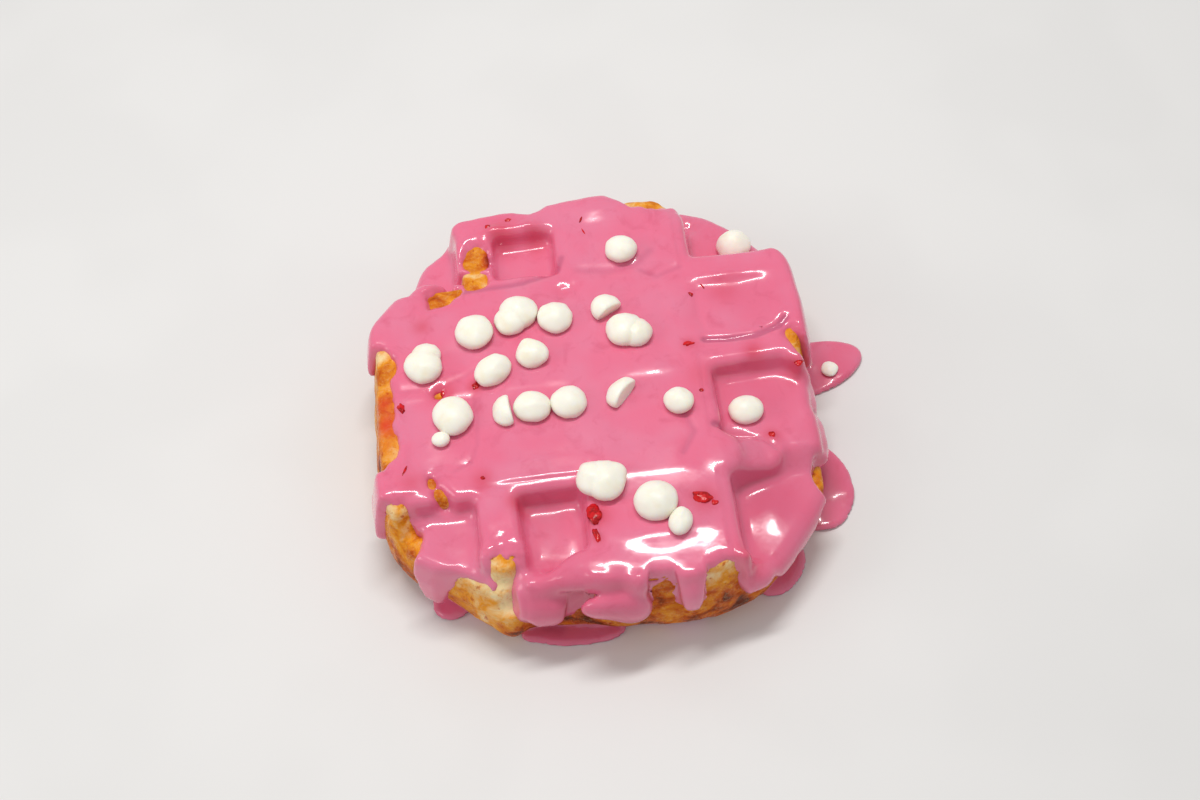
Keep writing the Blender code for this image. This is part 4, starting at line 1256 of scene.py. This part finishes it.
def makeCamera():
    elevation = math.radians(view["elevation"])
    turn = math.radians(view["turn"])
    roll = math.radians(view["roll"])
    level = math.cos(elevation)
    back = Vector((math.sin(turn) * level, -math.cos(turn) * level, math.sin(elevation)))
    right = (-back).cross(Vector((0, 0, 1))).normalized()
    up = right.cross(-back)
    sideways = right * math.cos(roll) - up * math.sin(roll)
    upwards = right * math.sin(roll) + up * math.cos(roll)
    target = Vector(view["target"]) - Vector((planMiddle[0], planMiddle[1], 0.0))
    place = (target + back * view["distance"]) * metres
    data = bpy.data.cameras.new("camera")
    data.lens = view["lens"]
    data.sensor_width = view["sensor"]
    data.clip_start = 0.01
    camera = bpy.data.objects.new("camera", data)
    camera.matrix_world = Matrix((
        (sideways.x, upwards.x, back.x, place.x),
        (sideways.y, upwards.y, back.y, place.y),
        (sideways.z, upwards.z, back.z, place.z),
        (0, 0, 0, 1)))
    bpy.context.scene.collection.objects.link(camera)
    bpy.context.scene.camera = camera


floorLook = {
    "width": 3.0,  # metres
    "drop": -0.0002,  # it lies this far below the part, so that no faces coincide
    "pale": (0.80, 0.795, 0.79),
    "shade": (0.78, 0.775, 0.77),
}


def makeFloor():
    r = Recipe("paleFloor")
    colour = r.mix(r.spread(r.noise(60.0, 2.0), 0.4, 0.6), floorLook["pale"], floorLook["shade"])
    r.set(Roughness=0.55)
    material = r.finish(colour, r.bump(r.noise(2.0, 3.0), 0.05, 0.1))
    mesh = bpy.data.meshes.new("floor")
    half = 0.5 * floorLook["width"]
    corners = [(-half, -half, 0), (half, -half, 0), (half, half, 0), (-half, half, 0)]
    mesh.from_pydata(corners, [], [(0, 1, 2, 3)])
    mesh.materials.append(material)
    floor = bpy.data.objects.new("floor", mesh)
    bpy.context.scene.collection.objects.link(floor)
    floor.location = (0, 0, floorLook["drop"])


skyLook = {"colour": (1.0, 0.99, 0.98), "strength": 0.5}
lights = (  # name, place in metres, size each way, power, colour
    ("keySoftbox", (-0.03, 0.13, 0.62), (0.34, 0.06), 2.0, (1.0, 0.99, 0.97)),
    ("sideSoftbox", (-0.62, -0.10, 0.40), (0.30, 0.30), 0.7, (1.0, 0.98, 0.95)),
)


def makeLights():
    world = bpy.data.worlds.new("studio")
    world.use_nodes = True
    sky = world.node_tree.nodes["Background"]
    sky.inputs["Color"].default_value = (*skyLook["colour"], 1.0)
    sky.inputs["Strength"].default_value = skyLook["strength"]
    bpy.context.scene.world = world
    bpy.context.scene.view_settings.view_transform = "Standard"
    for name, place, size, power, colour in lights:
        data = bpy.data.lights.new(name, "AREA")
        data.shape = "RECTANGLE"
        data.size, data.size_y = size
        data.energy = power
        data.color = colour
        light = bpy.data.objects.new(name, data)
        light.location = place
        light.rotation_euler = (Vector((0, 0, 0.01)) - Vector(place)).to_track_quat("-Z", "Y").to_euler()
        bpy.context.scene.collection.objects.link(light)


makeCamera()
makeFloor()
makeLights()
makeDough()
makeIcing()
makeChips()
makeBerryBits()
